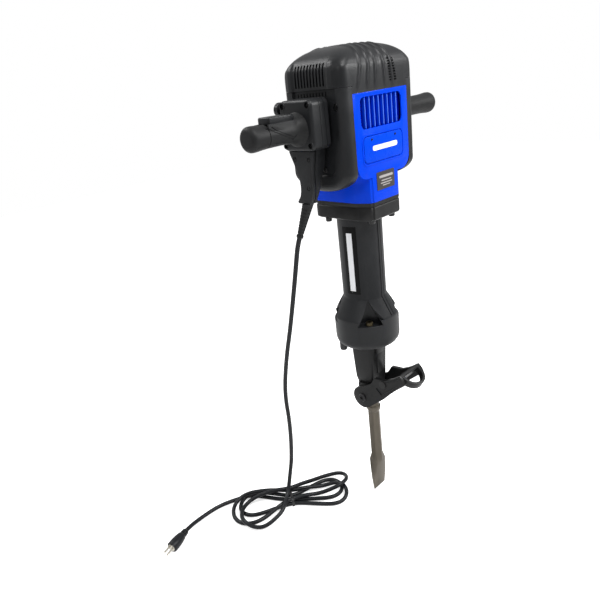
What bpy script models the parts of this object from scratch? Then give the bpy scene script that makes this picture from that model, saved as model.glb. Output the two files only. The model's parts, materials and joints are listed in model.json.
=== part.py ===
"""Electric jackhammer with T-handles, flat chisel and tied mains cord.

Metres, +Z up.  The origin is the middle of the handle axis: X runs along the
handles, -Y is the grille side and the chisel points down.  Each named object is
one physical piece.
"""
import math

import bmesh
import bpy
from mathutils import Matrix, Vector

# ---------------------------------------------------------------- dimensions
GAP = 0.0003                 # air between neighbouring pieces
WALL = 0.003                 # moulded cover wall
FLOOR_Z = -1.005             # what the chisel tip and the cord stand on

HEAD_HALF_X = 0.118          # head, half width over the side covers
HEAD_HALF_Y = 0.083          # head, half depth, front face to rear face
PANEL_HALF_X = 0.0895        # coloured front panel
COVER_SEAM_Z = 0.069         # top cover meets the side covers
PANEL_TOP_Z = 0.0545         # top cover's apron meets the panel
ARCH_Z = -0.098              # side cover starts to round off
ARCH_DROP = 0.040            # and reaches this far lower
BODY_HALF_X = 0.063          # lower housing
PLATE_HALF_X = 0.043         # its flat front
SEAM_Z = -0.171              # lower housing meets the flange
FLANGE_Z = -0.211            # underside of the flange

BARREL_R = 0.0525
BARREL_BORE_R = 0.046
BELL_R = 0.0795
FLARE_TOP_Z = -0.411
BELL_TOP_Z = -0.458
BELL_BOTTOM_Z = -0.535
POCKET_FLOOR_Z = -0.470
POCKET_TOP_Z = -0.406
POCKET_INNER_R = 0.0485       # how near the axis the pockets reach
BOLT_CIRCLE_R = 0.0640
BLIND_Z = -0.5250            # end of the front screws inside the bell
CYLINDER_R = 0.030           # bore the piston and the ram run in
CYLINDER_WALL = 0.006
RUN = 0.0004                 # running clearance of sliding pieces

ARMATURE_Z = 0.092
PINION_R = 0.008
WHEEL_R = 0.034
SMALL_WHEEL_R = 0.011
CRANK_WHEEL_R = 0.042
MESH_GAP = 0.0006
WHEEL_Z = ARMATURE_Z - PINION_R - WHEEL_R - MESH_GAP
CRANK_Z = WHEEL_Z - SMALL_WHEEL_R - CRANK_WHEEL_R - MESH_GAP
CRANK_THROW = 0.012
ROD_LENGTH = 0.110

BOX_INNER_X = -0.1185        # switch box, side towards the head
BOX_SPLIT_X = -0.1450
BOX_OUTER_X = -0.1700
TAIL_MIDDLE_Y = 0.006
TAIL_OUTER_X = -0.1620        # cord housing, set in under the box
BOX_HALF_Y = 0.045
BOX_TOP_Z = 0.056
BOX_BOTTOM_Z = -0.042
GRIP_R = 0.0235
GRIP_END_X = 0.302
CORE_R = 0.012
CORE_END_X = 0.2905

LATCH_Z = -0.691             # hinge line of the tool latch
LATCH_R = 0.030
EAR_R = 0.0212               # hinge ears of the nose
CHEEK_IN = 0.0308
CHEEK_OUT = 0.0405
LOOP_PLACE = (0.0, -0.1190, -0.5990)
LOOP_TILT = math.radians(31.0)  # the finger loop slopes down towards the front
LOOP_HALF_BAND = 0.0090
HEX_FLAT = 0.0286            # 1-1/8 in across flats

CORD_D = 0.0110
EXIT_TOP = Vector((-0.155, 0.006, -0.1531))
EXIT_END = Vector((-0.1622, 0.0362, -0.2290))
HANK_CENTRE = Vector((-0.1986, 0.1576, 0.0))
HANK_DIRECTION = Vector((-0.8465, 0.5323, 0.0))
HANK_HALF_LENGTH = 0.172
HANK_WAIST = 0.026           # half width under the tie
HANK_THICKNESS = 0.0205
PLUG_START = Vector((-0.4660, 0.2900, FLOOR_Z + 0.0151))
PLUG_DIRECTION = Vector((-0.949, -0.314, 0.0)).normalized()

# The cord's free stretches, from the strain relief down, and from the hank to the plug.
DROP_ROUTE = [
    (-0.1623, 0.0365, -0.2297), (-0.1641, 0.0440, -0.2486), (-0.1668, 0.0575, -0.3070),
    (-0.1700, 0.0761, -0.3836), (-0.1750, 0.0953, -0.4645), (-0.1800, 0.1140, -0.5366),
    (-0.1840, 0.1300, -0.6140), (-0.1880, 0.1330, -0.6700), (-0.1895, 0.1300, -0.7277),
    (-0.1880, 0.1370, -0.8000), (-0.1862, 0.1500, -0.8712), (-0.1868, 0.1595, -0.9080),
    (-0.1900, 0.1625, -0.9300), (-0.1985, 0.1610, -0.9540), (-0.2120, 0.1550, -0.9705),
    (-0.2290, 0.1450, -0.9780),
]
TAIL_ROUTE = [
    (-0.2962, 0.2804, -0.9994), (-0.3160, 0.2890, -0.9994), (-0.3360, 0.2975, -0.9994),
    (-0.3620, 0.3030, -0.9994), (-0.3900, 0.3050, -0.9994), (-0.4200, 0.3030, -0.9980),
    (-0.4440, 0.2973, -0.9920), (-0.4652, 0.2903, -0.9900),
]

# ---------------------------------------------------------------- materials
BLACK_PLASTIC = ((0.022, 0.023, 0.025), 0.45, 0.0)
BLUE_PAINT = ((0.0, 0.045, 0.82), 0.25, 0.0)
BLUE_BADGE = ((0.0, 0.055, 0.86), 0.28, 0.0)
RUBBER = ((0.018, 0.018, 0.019), 0.7, 0.0)
CAST_BLACK = ((0.020, 0.020, 0.021), 0.5, 0.2)
STEEL = ((0.42, 0.42, 0.43), 0.35, 1.0)
BIT_STEEL = ((0.15, 0.125, 0.105), 0.5, 0.9)
COPPER = ((0.55, 0.24, 0.10), 0.4, 1.0)
BOLT_BLACK = ((0.03, 0.03, 0.032), 0.4, 0.6)
BRASSY_BOLT = ((0.20, 0.15, 0.07), 0.4, 0.9)
LABEL_GREY = ((0.07, 0.062, 0.060), 0.5, 0.0)
NICKEL = ((0.66, 0.64, 0.60), 0.25, 1.0)
CORD_RUBBER = ((0.012, 0.013, 0.016), 0.5, 0.0)


def material(name, look):
    """A Principled material with the piece's colour, roughness and metallic value."""
    colour, roughness, metallic = look
    made = bpy.data.materials.new(name)
    made.use_nodes = True
    shader = made.node_tree.nodes["Principled BSDF"]
    shader.inputs["Base Color"].default_value = (*colour, 1.0)
    shader.inputs["Roughness"].default_value = roughness
    shader.inputs["Metallic"].default_value = metallic
    made.diffuse_color = (*colour, 1.0)
    return made


# ---------------------------------------------------------------- mesh helpers
def piece(name, mesh_data, look, origin=(0.0, 0.0, 0.0), smooth=True):
    """Wrap world-space mesh data as a named object whose own origin is `origin`."""
    mesh_data.transform(Matrix.Translation(-Vector(origin)))
    if smooth:
        mesh_data.shade_smooth()
        mesh_data.set_sharp_from_angle(angle=math.radians(35))
    mesh_data.materials.append(material(name, look))
    made = bpy.data.objects.new(name, mesh_data)
    made.location = origin
    bpy.context.scene.collection.objects.link(made)
    return made


def finish_mesh(name, bm):
    """Close a bmesh into mesh data with every face pointing out."""
    bmesh.ops.recalc_face_normals(bm, faces=bm.faces[:])
    data = bpy.data.meshes.new(name)
    bm.to_mesh(data)
    bm.free()
    return data


def lofted(name, rings, closed_path=False):
    """Skin equal-length rings of points; a closed path joins the last ring to the first."""
    bm = bmesh.new()
    levels = [[bm.verts.new(point) for point in ring] for ring in rings]
    count = len(levels[0])
    pairs = list(zip(levels, levels[1:]))
    if closed_path:
        pairs.append((levels[-1], levels[0]))
    else:
        bm.faces.new(levels[0])
        bm.faces.new(levels[-1])
    for low, high in pairs:
        for i in range(count):
            j = (i + 1) % count
            bm.faces.new((low[i], low[j], high[j], high[i]))
    return finish_mesh(name, bm)


def rounded_rectangle(half_u, half_v, radius, steps=4):
    """Corner-rounded rectangle as (u, v) pairs."""
    points = []
    for corner in range(4):
        centre_u = (half_u - radius) * (1, -1, -1, 1)[corner]
        centre_v = (half_v - radius) * (1, 1, -1, -1)[corner]
        for step in range(steps + 1):
            angle = math.radians(90.0 * (corner + step / steps))
            points.append((centre_u + radius * math.cos(angle), centre_v + radius * math.sin(angle)))
    return points


def circle(radius, steps, centre=(0.0, 0.0), start=0.0):
    """Points of a circle as (u, v) pairs."""
    points = []
    for i in range(steps):
        angle = start + 2.0 * math.pi * i / steps
        points.append((centre[0] + radius * math.cos(angle), centre[1] + radius * math.sin(angle)))
    return points


def place(axis, u, v, w):
    """(u, v) in the plane across `axis`, w along it; u, v follow X, Y, Z order."""
    return {"x": (w, u, v), "y": (u, w, v), "z": (u, v, w)}[axis]


def prism(name, outline, axis, low, high):
    """Outline extruded along a world axis."""
    rings = [[place(axis, u, v, w) for u, v in outline] for w in (low, high)]
    return lofted(name, rings)


def turned(name, profile, axis="z", centre=(0.0, 0.0), steps=24, hollow=False):
    """Profile of (radius, along) turned about a world axis; a hollow profile is a closed loop."""
    rings = []
    for radius, along in profile:
        rings.append([place(axis, u, v, along) for u, v in circle(max(radius, 1e-4), steps, centre)])
    return lofted(name, rings, closed_path=hollow)


def half_turned(name, profile, side, steps=14):
    """Closed (radius, z) loop turned through the half circle on one side of the X = 0 plane."""
    bm = bmesh.new()
    sections = []
    for i in range(steps + 1):
        angle = math.radians(90.0) + side * math.pi * i / steps
        ring = []
        for radius, z in profile:
            x = radius * math.cos(angle)
            if i in (0, steps):
                x = 0.0
            ring.append(bm.verts.new((x - side * GAP / 2.0, radius * math.sin(angle), z)))
        sections.append(ring)
    count = len(profile)
    bm.faces.new(sections[0])
    bm.faces.new(sections[-1])
    for low, high in zip(sections, sections[1:]):
        for i in range(count):
            j = (i + 1) % count
            bm.faces.new((low[i], low[j], high[j], high[i]))
    return finish_mesh(name, bm)


def box_data(name, low, high):
    """Axis-aligned box between two corners."""
    outline = [(low[0], low[1]), (high[0], low[1]), (high[0], high[1]), (low[0], high[1])]
    return prism(name, outline, "z", low[2], high[2])


def helper(name, data):
    """A tool object that shapes another piece and is not itself part of the model."""
    made = bpy.data.objects.new(name, data)
    made.hide_render = True
    made.display_type = "WIRE"
    bpy.context.scene.collection.objects.link(made)
    return made


def combine(target, data, operation):
    """Add or remove a shape with a Boolean modifier."""
    tool = helper(f"{target.name}_tool", data)
    tool.parent = target
    tool.matrix_parent_inverse = Matrix.Translation(-target.location)
    modifier = target.modifiers.new(operation.lower(), "BOOLEAN")
    modifier.operation = operation
    modifier.object = tool
    return tool


def cut(target, data):
    return combine(target, data, "DIFFERENCE")


def join(target, data):
    return combine(target, data, "UNION")


def soften(target, width, segments=2, angle=50.0):
    """Round the edges of a piece with a Bevel modifier."""
    modifier = target.modifiers.new("bevel", "BEVEL")
    modifier.width = width
    modifier.segments = segments
    modifier.limit_method = "ANGLE"
    modifier.angle_limit = math.radians(angle)
    return modifier


def smooth_route(points, spacing):
    """Evenly spaced points on a Catmull-Rom curve through the route's own points."""
    knots = [Vector(p) for p in points]
    padded = [2 * knots[0] - knots[1]] + knots + [2 * knots[-1] - knots[-2]]
    fine = []
    for a, b, c, d in zip(padded, padded[1:], padded[2:], padded[3:]):
        for step in range(24):
            t = step / 24.0
            fine.append(0.5 * ((2 * b) + (c - a) * t + (2 * a - 5 * b + 4 * c - d) * t * t
                               + (3 * b - a - 3 * c + d) * t ** 3))
    fine.append(knots[-1])
    walked = [0.0]
    for p, q in zip(fine, fine[1:]):
        walked.append(walked[-1] + (q - p).length)
    count = max(2, round(walked[-1] / spacing))
    even = []
    index = 0
    for i in range(count + 1):
        goal = walked[-1] * i / count
        while index < len(walked) - 2 and walked[index + 1] < goal:
            index += 1
        share = (goal - walked[index]) / (walked[index + 1] - walked[index])
        even.append(fine[index].lerp(fine[index + 1], share))
    return even


def tube(name, points, diameter, look):
    """A round tube along points, as a bevelled curve with filled ends."""
    curve = bpy.data.curves.new(name, "CURVE")
    curve.dimensions = "3D"
    curve.bevel_depth = diameter / 2.0
    curve.bevel_resolution = 2
    curve.use_fill_caps = True
    spline = curve.splines.new("POLY")
    spline.points.add(len(points) - 1)
    for spot, point in zip(spline.points, points):
        spot.co = (*point, 1.0)
    curve.materials.append(material(name, look))
    made = bpy.data.objects.new(name, curve)
    bpy.context.scene.collection.objects.link(made)
    return made


def aligned(data, start, direction):
    """Turn a mesh built along +Z from the origin so that it runs from `start` along `direction`."""
    turn = Vector(direction).to_track_quat("Z", "Y").to_matrix().to_4x4()
    data.transform(Matrix.Translation(start) @ turn)
    return data


# ---------------------------------------------------------------- head shells
def body_outline(half_x=BODY_HALF_X, inset=0.0):
    """Plan of the lower housing: flat narrow front, slanted corners, rounded rear."""
    front = -HEAD_HALF_Y + inset
    plate = PLATE_HALF_X - 0.4 * inset
    half = half_x - inset
    rear = HEAD_HALF_Y - inset
    right = [(plate, front), (0.054 - 0.7 * inset, front + 0.007), (half, -0.046), (half, 0.060),
             (half - 0.006, 0.074 - inset), (half - 0.020, rear)]
    return right + [(-x, y) for x, y in reversed(right)]


def panel_outline(inset=0.0, top=PANEL_TOP_Z - GAP):
    """Front view of the upper housing: straight sides and rounded lower corners."""
    half = PANEL_HALF_X - inset
    right = [(half, top), (half, -0.086), (half - 0.005, -0.100 + inset), (half - 0.018, -0.111 + inset),
             (0.046 - inset, -0.1170 + inset)]
    return right + [(-x, z) for x, z in reversed(right)]


def grille_slots():
    """Nine upright air slots in the front panel."""
    slots = []
    for i in range(9):
        x = -0.0600 + 0.0150 * i
        slots.append(rounded_slot(x, 0.0145, 0.0050, 0.0285))
    return slots


def rounded_slot(x, z, half_width, half_height):
    outline = rounded_rectangle(half_width, half_height, 0.0035, 2)
    return [(x + u, z + v) for u, v in outline]


def motor_housing():
    """Coloured housing: front and rear panels above, gearcase below."""
    y = HEAD_HALF_Y
    made = piece("motor_housing", prism("motor_housing", panel_outline(), "y", -y, y), BLUE_PAINT)
    join(made, prism("lower", body_outline(), "z", SEAM_Z, -0.100))
    cut(made, prism("hollow_upper", panel_outline(WALL, 0.2), "y", -y + WALL, y - WALL))
    cut(made, prism("hollow_lower", body_outline(inset=0.0045), "z", SEAM_Z - 0.01, -0.103))
    window = box_data("side_window", (-0.2, -0.070, -0.092), (0.2, 0.070, 0.2))
    cut(made, window)
    for outline in grille_slots():
        cut(made, prism("slot", outline, "y", -y - 0.01, -y + 0.02))
    recess = [(u, v - 0.059) for u, v in rounded_rectangle(0.0685, 0.0285, 0.011)]
    cut(made, prism("badge_recess", recess, "y", -y - 0.01, -y + 0.0012))
    return made


def front_badge():
    """Blank raised plate under the grille."""
    outline = [(u, v - 0.059) for u, v in rounded_rectangle(0.0655, 0.0265, 0.010)]
    front = -HEAD_HALF_Y
    data = prism("front_badge", outline, "y", front - 0.0012, front + 0.0009)
    made = piece("front_badge", data, BLUE_BADGE)
    soften(made, 0.0006, 1)
    return made


def rating_plate():
    """Small blank plate on the flat front of the lower housing."""
    front = -HEAD_HALF_Y
    data = box_data("rating_plate", (-0.031, front - 0.0011, -0.1480), (0.031, front - GAP, -0.1095))
    return piece("rating_plate", data, LABEL_GREY)


COVER_SECTIONS = [  # height, half width, half depth, corner radius
    (PANEL_TOP_Z, 0.1180, 0.0830, 0.022),
    (0.0990, 0.1172, 0.0828, 0.022),
    (0.1130, 0.1135, 0.0800, 0.024),
    (0.1240, 0.1060, 0.0745, 0.026),
    (0.1330, 0.0940, 0.0660, 0.028),
    (0.1400, 0.0790, 0.0550, 0.028),
    (0.1450, 0.0600, 0.0400, 0.026),
    (0.1480, 0.0360, 0.0220, 0.015),
]


def top_cover():
    """Domed cover over the motor, with an apron down to the front panel and side vents."""
    outer = []
    inner = []
    for z, half_x, half_y, radius in COVER_SECTIONS:
        outer.append([(x, y, z) for x, y in rounded_rectangle(half_x, half_y, radius)])
        inside = rounded_rectangle(half_x - WALL, half_y - WALL, radius - WALL)
        inner.append([(x, y, z - (WALL if z > 0.06 else 0.0)) for x, y in inside])
    bm = bmesh.new()
    outer_verts = [[bm.verts.new(p) for p in ring] for ring in outer]
    inner_verts = [[bm.verts.new(p) for p in ring] for ring in inner]
    count = len(outer_verts[0])
    bm.faces.new(outer_verts[-1])
    bm.faces.new(inner_verts[-1])
    rows = list(zip(outer_verts, outer_verts[1:])) + list(zip(inner_verts, inner_verts[1:]))
    rows.append((outer_verts[0], inner_verts[0]))
    for low, high in rows:
        for i in range(count):
            j = (i + 1) % count
            bm.faces.new((low[i], low[j], high[j], high[i]))
    made = piece("top_cover", finish_mesh("top_cover", bm), BLACK_PLASTIC)
    for side in (-1, 1):
        x_low, x_high = sorted((side * PANEL_HALF_X, side * 0.2))
        cut(made, box_data("side_trim", (x_low, -0.1, 0.0), (x_high, 0.1, COVER_SEAM_Z)))
        for i in range(10):
            y = -0.031 + 0.0085 * i
            x_low, x_high = sorted((side * 0.100, side * 0.2))
            cut(made, box_data("vent", (x_low, y - 0.002, 0.0745), (x_high, y + 0.002, 0.1085)))
    return made


def arch_outline(inset=0.0, top=COVER_SEAM_Z - GAP):
    """Side view of a side cover: straight top, arched bottom."""
    half = HEAD_HALF_Y - inset
    points = [(half, top), (-half, top)]
    for i in range(13):
        angle = math.pi * i / 12
        points.append((-half * math.cos(angle), ARCH_Z - (ARCH_DROP - inset) * math.sin(angle)))
    return points


def side_cover(name, side):
    """Moulded side cover, open towards the motor."""
    steps = [(PANEL_HALF_X + GAP, 0.0), (0.1020, 0.0), (0.1100, 0.0025), (0.1155, 0.0085),
             (HEAD_HALF_X, 0.0190)]
    hollow = [(0.1150, 0.0200), (0.1080, 0.0060), (0.1020, WALL), (PANEL_HALF_X + GAP, WALL)]
    rings = []
    for x, inset in steps:
        rings.append([(side * x, y, z) for y, z in arch_outline(inset)])
    for x, inset in hollow:
        rings.append([(side * x, y, z) for y, z in arch_outline(inset, COVER_SEAM_Z - GAP - WALL)])
    bm = bmesh.new()
    levels = [[bm.verts.new(point) for point in ring] for ring in rings]
    count = len(levels[0])
    bm.faces.new(levels[len(steps) - 1])
    bm.faces.new(levels[len(steps)])
    pairs = [(levels[i], levels[i + 1]) for i in range(len(levels) - 1) if i != len(steps) - 1]
    pairs.append((levels[-1], levels[0]))
    for low, high in pairs:
        for i in range(count):
            j = (i + 1) % count
            bm.faces.new((low[i], low[j], high[j], high[i]))
    return piece(name, finish_mesh(name, bm), BLACK_PLASTIC)


def flange_ring():
    """Black foot of the head that carries the barrel."""
    data = prism("flange_ring", body_outline(), "z", FLANGE_Z, SEAM_Z - GAP)
    made = piece("flange_ring", data, CAST_BLACK)
    bore = CYLINDER_R + CYLINDER_WALL + GAP
    cut(made, prism("bore", circle(bore, 28), "z", FLANGE_Z - 0.01, SEAM_Z + 0.01))
    return made


FLANGE_BOLTS = [(-0.036, -0.067), (0.036, -0.067), (-0.0545, 0.045), (0.0545, 0.045)]


def flange_bolts():
    """Cap screws under the flange."""
    top = FLANGE_Z - GAP
    for number, centre in enumerate(FLANGE_BOLTS, 1):
        name = f"flange_bolt_{number}"
        profile = [(0.0072, top), (0.0072, top - 0.0110), (0.0058, top - 0.0125)]
        piece(name, turned(name, profile, centre=centre, steps=12), BOLT_BLACK)


# ---------------------------------------------------------------- barrel and nose
def pocket(angle):
    """Three-sided bolt pocket cut radially into the flare."""
    outline = [(0.0, POCKET_TOP_Z), (0.0280, POCKET_FLOOR_Z), (-0.0280, POCKET_FLOOR_Z)]
    data = prism("pocket", outline, "x", POCKET_INNER_R, 0.095)
    data.transform(Matrix.Rotation(angle, 4, "Z"))
    return data


def pocket_angles():
    return [math.radians(45.0 + 90.0 * i) for i in range(4)]


def barrel_shell(name, side):
    """One half of the barrel's moulded casing, split in the X = 0 plane."""
    top = FLANGE_Z - GAP
    flare_r = BELL_R - 0.002
    profile = [(BARREL_BORE_R, top), (BARREL_R, top), (BARREL_R, FLARE_TOP_Z), (flare_r, BELL_TOP_Z + 0.003),
               (flare_r, BELL_TOP_Z), (BARREL_BORE_R, BELL_TOP_Z)]
    made = piece(name, half_turned(name, profile, -side), BLACK_PLASTIC)
    for angle in pocket_angles():
        if math.cos(angle) * side > 0.0:
            cut(made, pocket(angle))
    return made


def nose_casting():
    """Bell that clamps the front head to the barrel; its two rear screw holes go through."""
    bore = 0.0405
    profile = [(bore, BELL_TOP_Z - GAP), (BELL_R, BELL_TOP_Z - GAP), (BELL_R, -0.5150), (0.0770, -0.5270),
               (0.0700, -0.5330), (0.0640, BELL_BOTTOM_Z), (bore, BELL_BOTTOM_Z)]
    made = piece("nose_casting", turned("nose_casting", profile, steps=36, hollow=True), CAST_BLACK)
    for angle in pocket_angles():
        cut(made, pocket(angle))
        centre = (BOLT_CIRCLE_R * math.cos(angle), BOLT_CIRCLE_R * math.sin(angle))
        bottom = -0.60 if centre[1] > 0.0 else BLIND_Z - GAP
        cut(made, prism("bolt_hole", circle(0.0048, 12, centre), "z", bottom, POCKET_FLOOR_Z + 0.005))
    return made


def nose_bolts():
    """Screws from the pockets into the bell; the rear two end in a long nut below it."""
    top = POCKET_FLOOR_Z + GAP
    under = BELL_BOTTOM_Z - GAP
    head = [(0.0090, top + 0.0085), (0.0090, top), (0.0045, top)]
    nut = [(0.0045, under), (0.0095, under), (0.0095, under - 0.0230), (0.0075, under - 0.0250)]
    for number, angle in enumerate(pocket_angles(), 1):
        name = f"nose_bolt_{number}"
        centre = (BOLT_CIRCLE_R * math.cos(angle), BOLT_CIRCLE_R * math.sin(angle))
        end = nut if centre[1] > 0.0 else [(0.0045, BLIND_Z)]
        piece(name, turned(name, head + end, centre=centre, steps=12), BRASSY_BOLT)


def cylinder_tube():
    """Steel cylinder that the piston and the ram run in."""
    inner = CYLINDER_R
    outer = CYLINDER_R + CYLINDER_WALL
    profile = [(inner, -0.105), (outer, -0.105), (outer, -0.470), (inner, -0.470)]
    return piece("cylinder_tube", turned("cylinder_tube", profile, steps=28, hollow=True), STEEL)


def front_head():
    """Nose that guides the bit and carries the latch's two hinge ears."""
    profile = [(0.0302, -0.4703), (0.0400, -0.4703), (0.0400, -0.5355), (0.0355, -0.5385), (0.0340, -0.6150),
               (0.0300, -0.6450), (0.0300, -0.6780), (0.0185, -0.6780), (0.0185, -0.4870), (0.0302, -0.4870)]
    made = piece("front_head", turned("front_head", profile, steps=28, hollow=True), CAST_BLACK)
    for side in (-1, 1):
        ear = [(0.0190, -0.660)]
        for i in range(11):
            angle = math.pi * i / 10
            ear.append((EAR_R * math.cos(angle), LATCH_Z - EAR_R * math.sin(angle)))
        ear.append((-0.0190, -0.660))
        inner, outer = sorted((side * 0.0246, side * 0.0304))
        join(made, prism("ear", ear, "x", inner, outer))
        cut(made, prism("ear_hole", circle(0.0084, 14, (0.0, LATCH_Z)), "x", inner - 0.002, outer + 0.002))
    return made


# ---------------------------------------------------------------- hammer mechanism
def impact_bolt():
    profile = [(0.0295, -0.4550), (0.0295, -0.4850), (0.0180, -0.4852), (0.0180, -0.5068)]
    return piece("impact_bolt", turned("impact_bolt", profile, steps=24), STEEL, (0.0, 0.0, -0.485))


def striker():
    radius = CYLINDER_R - RUN
    profile = [(radius - 0.003, -0.357), (radius, -0.360), (radius, -0.437), (0.020, -0.440)]
    return piece("striker", turned("striker", profile, steps=24), STEEL, (0.0, 0.0, -0.440))


def piston():
    """Hollow piston, open at the top where the connecting rod works."""
    radius = CYLINDER_R - RUN
    inner = 0.0245
    profile = [(radius, -0.100), (radius, -0.170), (0.0001, -0.170), (0.0001, -0.162), (inner, -0.162),
               (inner, -0.100)]
    bm = bmesh.new()
    rings = [[bm.verts.new(place("z", u, v, z)) for u, v in circle(r, 24)] for r, z in profile if r > 0.001]
    bm.faces.new(rings[1])
    bm.faces.new(rings[2])
    for low, high in ((rings[0], rings[1]), (rings[2], rings[3]), (rings[3], rings[0])):
        for i in range(24):
            j = (i + 1) % 24
            bm.faces.new((low[i], low[j], high[j], high[i]))
    return piece("piston", finish_mesh("piston", bm), STEEL, (0.0, 0.0, -0.170))


def connecting_rod():
    """Rod from the crank pin into the piston, hanging at bottom dead centre."""
    pin_z = CRANK_Z - CRANK_THROW
    half = 0.0078
    data = prism("connecting_rod", circle(0.0145, 20, (0.0, pin_z)), "x", -half, half)
    made = piece("connecting_rod", data, STEEL, (0.0, 0.0, pin_z))
    join(made, box_data("rod_shank", (-0.0050, -0.0065, pin_z - ROD_LENGTH), (0.0050, 0.0065, pin_z - 0.010)))
    join(made, prism("small_end", circle(0.0100, 16, (0.0, pin_z - ROD_LENGTH)), "x", -half, half))
    cut(made, prism("big_eye", circle(0.0084, 16, (0.0, pin_z)), "x", -0.02, 0.02))
    cut(made, prism("small_eye", circle(0.0055, 12, (0.0, pin_z - ROD_LENGTH)), "x", -0.02, 0.02))
    return made


def gear_outline(radius, teeth, depth, centre):
    """Spur gear outline with trapezoid teeth whose tips reach `radius`."""
    points = []
    for tooth in range(teeth):
        for share, reach in ((0.00, radius - depth), (0.28, radius), (0.50, radius), (0.78, radius - depth)):
            angle = 2.0 * math.pi * (tooth + share) / teeth
            points.append((centre[0] + reach * math.cos(angle), centre[1] + reach * math.sin(angle)))
    return points


def crank_shaft():
    """Crank disc with its pin, main shaft and driven gear."""
    centre = (0.0, CRANK_Z)
    data = prism("crank_shaft", circle(0.0270, 28, centre), "x", 0.0083, 0.0220)
    made = piece("crank_shaft", data, STEEL, (0.0, 0.0, CRANK_Z))
    join(made, prism("crank_pin", circle(0.0080, 16, (0.0, CRANK_Z - CRANK_THROW)), "x", -0.0085, 0.0100))
    join(made, prism("main_shaft", circle(0.0100, 16, centre), "x", 0.0200, 0.0755))
    join(made, prism("crank_gear", gear_outline(CRANK_WHEEL_R, 38, 0.0022, centre), "x", 0.0645, 0.0740))
    return made


def intermediate_gear():
    """Compound gear between the armature pinion and the crank gear."""
    centre = (0.0, WHEEL_Z)
    data = prism("intermediate_gear", circle(0.0070, 14, centre), "x", 0.0500, 0.0865)
    made = piece("intermediate_gear", data, STEEL, (0.0, 0.0, WHEEL_Z))
    join(made, prism("large", gear_outline(WHEEL_R, 34, 0.0018, centre), "x", 0.0760, 0.0850))
    join(made, prism("small", gear_outline(SMALL_WHEEL_R, 10, 0.0022, centre), "x", 0.0640, 0.0770))
    return made


def armature():
    """Motor armature: laminations, commutator, shaft and pinion."""
    centre = (0.0, ARMATURE_Z)
    profile = [(0.0070, -0.1000), (0.0070, -0.0860), (0.0140, -0.0858), (0.0140, -0.0650), (0.0070, -0.0648),
               (0.0070, -0.0450), (0.0250, -0.0448), (0.0250, 0.0250), (0.0070, 0.0252), (0.0070, 0.0740),
               (0.0055, 0.0742), (0.0055, 0.0870)]
    data = turned("armature", profile, axis="x", centre=centre, steps=20)
    made = piece("armature", data, COPPER, (0.0, 0.0, ARMATURE_Z))
    join(made, prism("pinion", gear_outline(PINION_R, 8, 0.0018, centre), "x", 0.0755, 0.0860))
    return made


def cooling_fan():
    """Fan wheel pressed on the armature shaft."""
    centre = (0.0, ARMATURE_Z)
    profile = [(0.0073, 0.0340), (0.0400, 0.0340), (0.0400, 0.0370), (0.0140, 0.0385), (0.0140, 0.0480),
               (0.0073, 0.0480)]
    data = turned("cooling_fan", profile, axis="x", centre=centre, steps=28, hollow=True)
    made = piece("cooling_fan", data, BLACK_PLASTIC, (0.0, 0.0, ARMATURE_Z))
    for i in range(8):
        blade = box_data("blade", (0.0365, 0.0120, -0.0009), (0.0475, 0.0380, 0.0009))
        blade.transform(Matrix.Rotation(math.pi * i / 4.0, 4, "X"))
        blade.transform(Matrix.Translation((0.0, 0.0, ARMATURE_Z)))
        join(made, blade)
    return made


def stator():
    """Field winding body around the armature."""
    centre = (0.0, ARMATURE_Z)
    profile = [(0.0264, -0.0420), (0.0450, -0.0420), (0.0450, 0.0220), (0.0264, 0.0220)]
    return piece("stator", turned("stator", profile, axis="x", centre=centre, steps=28, hollow=True), STEEL)


def bearing(name, z, inner, outer, low, high):
    """Plain ring standing for a ball bearing."""
    profile = [(inner, low), (outer, low), (outer, high), (inner, high)]
    data = turned(name, profile, axis="x", centre=(0.0, z), steps=20, hollow=True)
    return piece(name, data, STEEL)


def gear_bracket():
    """Plate that holds the gear-side bearings."""
    data = box_data("gear_bracket", (0.0530, -0.0440, -0.0360), (0.0620, 0.0440, 0.1170))
    made = piece("gear_bracket", data, STEEL)
    for z, radius in ((ARMATURE_Z, 0.0153), (WHEEL_Z, 0.0075), (CRANK_Z, 0.0223)):
        cut(made, prism("bearing_seat", circle(radius, 20, (0.0, z)), "x", 0.05, 0.07))
    return made


def brush_holders():
    """Two carbon-brush holders beside the commutator."""
    for name, side in (("brush_holder_front", -1), ("brush_holder_rear", 1)):
        low, high = sorted((side * 0.0146, side * 0.0340))
        data = box_data(name, (-0.0810, low, ARMATURE_Z - 0.0060), (-0.0690, high, ARMATURE_Z + 0.0060))
        piece(name, data, COPPER)


# ---------------------------------------------------------------- left handle and switch box
def box_outline(inset=0.0):
    """Side view of the switch box."""
    half_z = (BOX_TOP_Z - BOX_BOTTOM_Z) / 2.0
    centre_z = (BOX_TOP_Z + BOX_BOTTOM_Z) / 2.0
    outline = rounded_rectangle(BOX_HALF_Y - inset, half_z - inset, 0.0105 - inset, 3)
    return [(y, z + centre_z) for y, z in outline]


def cup(name, outlines, xs, look):
    """Open box: outer outline at xs[0] and xs[1], inner outline at xs[2] back to xs[0]."""
    outer, inner = outlines
    bm = bmesh.new()
    spots = [(outer, xs[0]), (outer, xs[1]), (inner, xs[2]), (inner, xs[0])]
    levels = [[bm.verts.new((x, y, z)) for y, z in outline] for outline, x in spots]
    count = len(outer)
    bm.faces.new(levels[1])
    bm.faces.new(levels[2])
    for low, high in ((levels[0], levels[1]), (levels[2], levels[3]), (levels[3], levels[0])):
        for i in range(count):
            j = (i + 1) % count
            bm.faces.new((low[i], low[j], high[j], high[i]))
    return piece(name, finish_mesh(name, bm), look)


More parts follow.
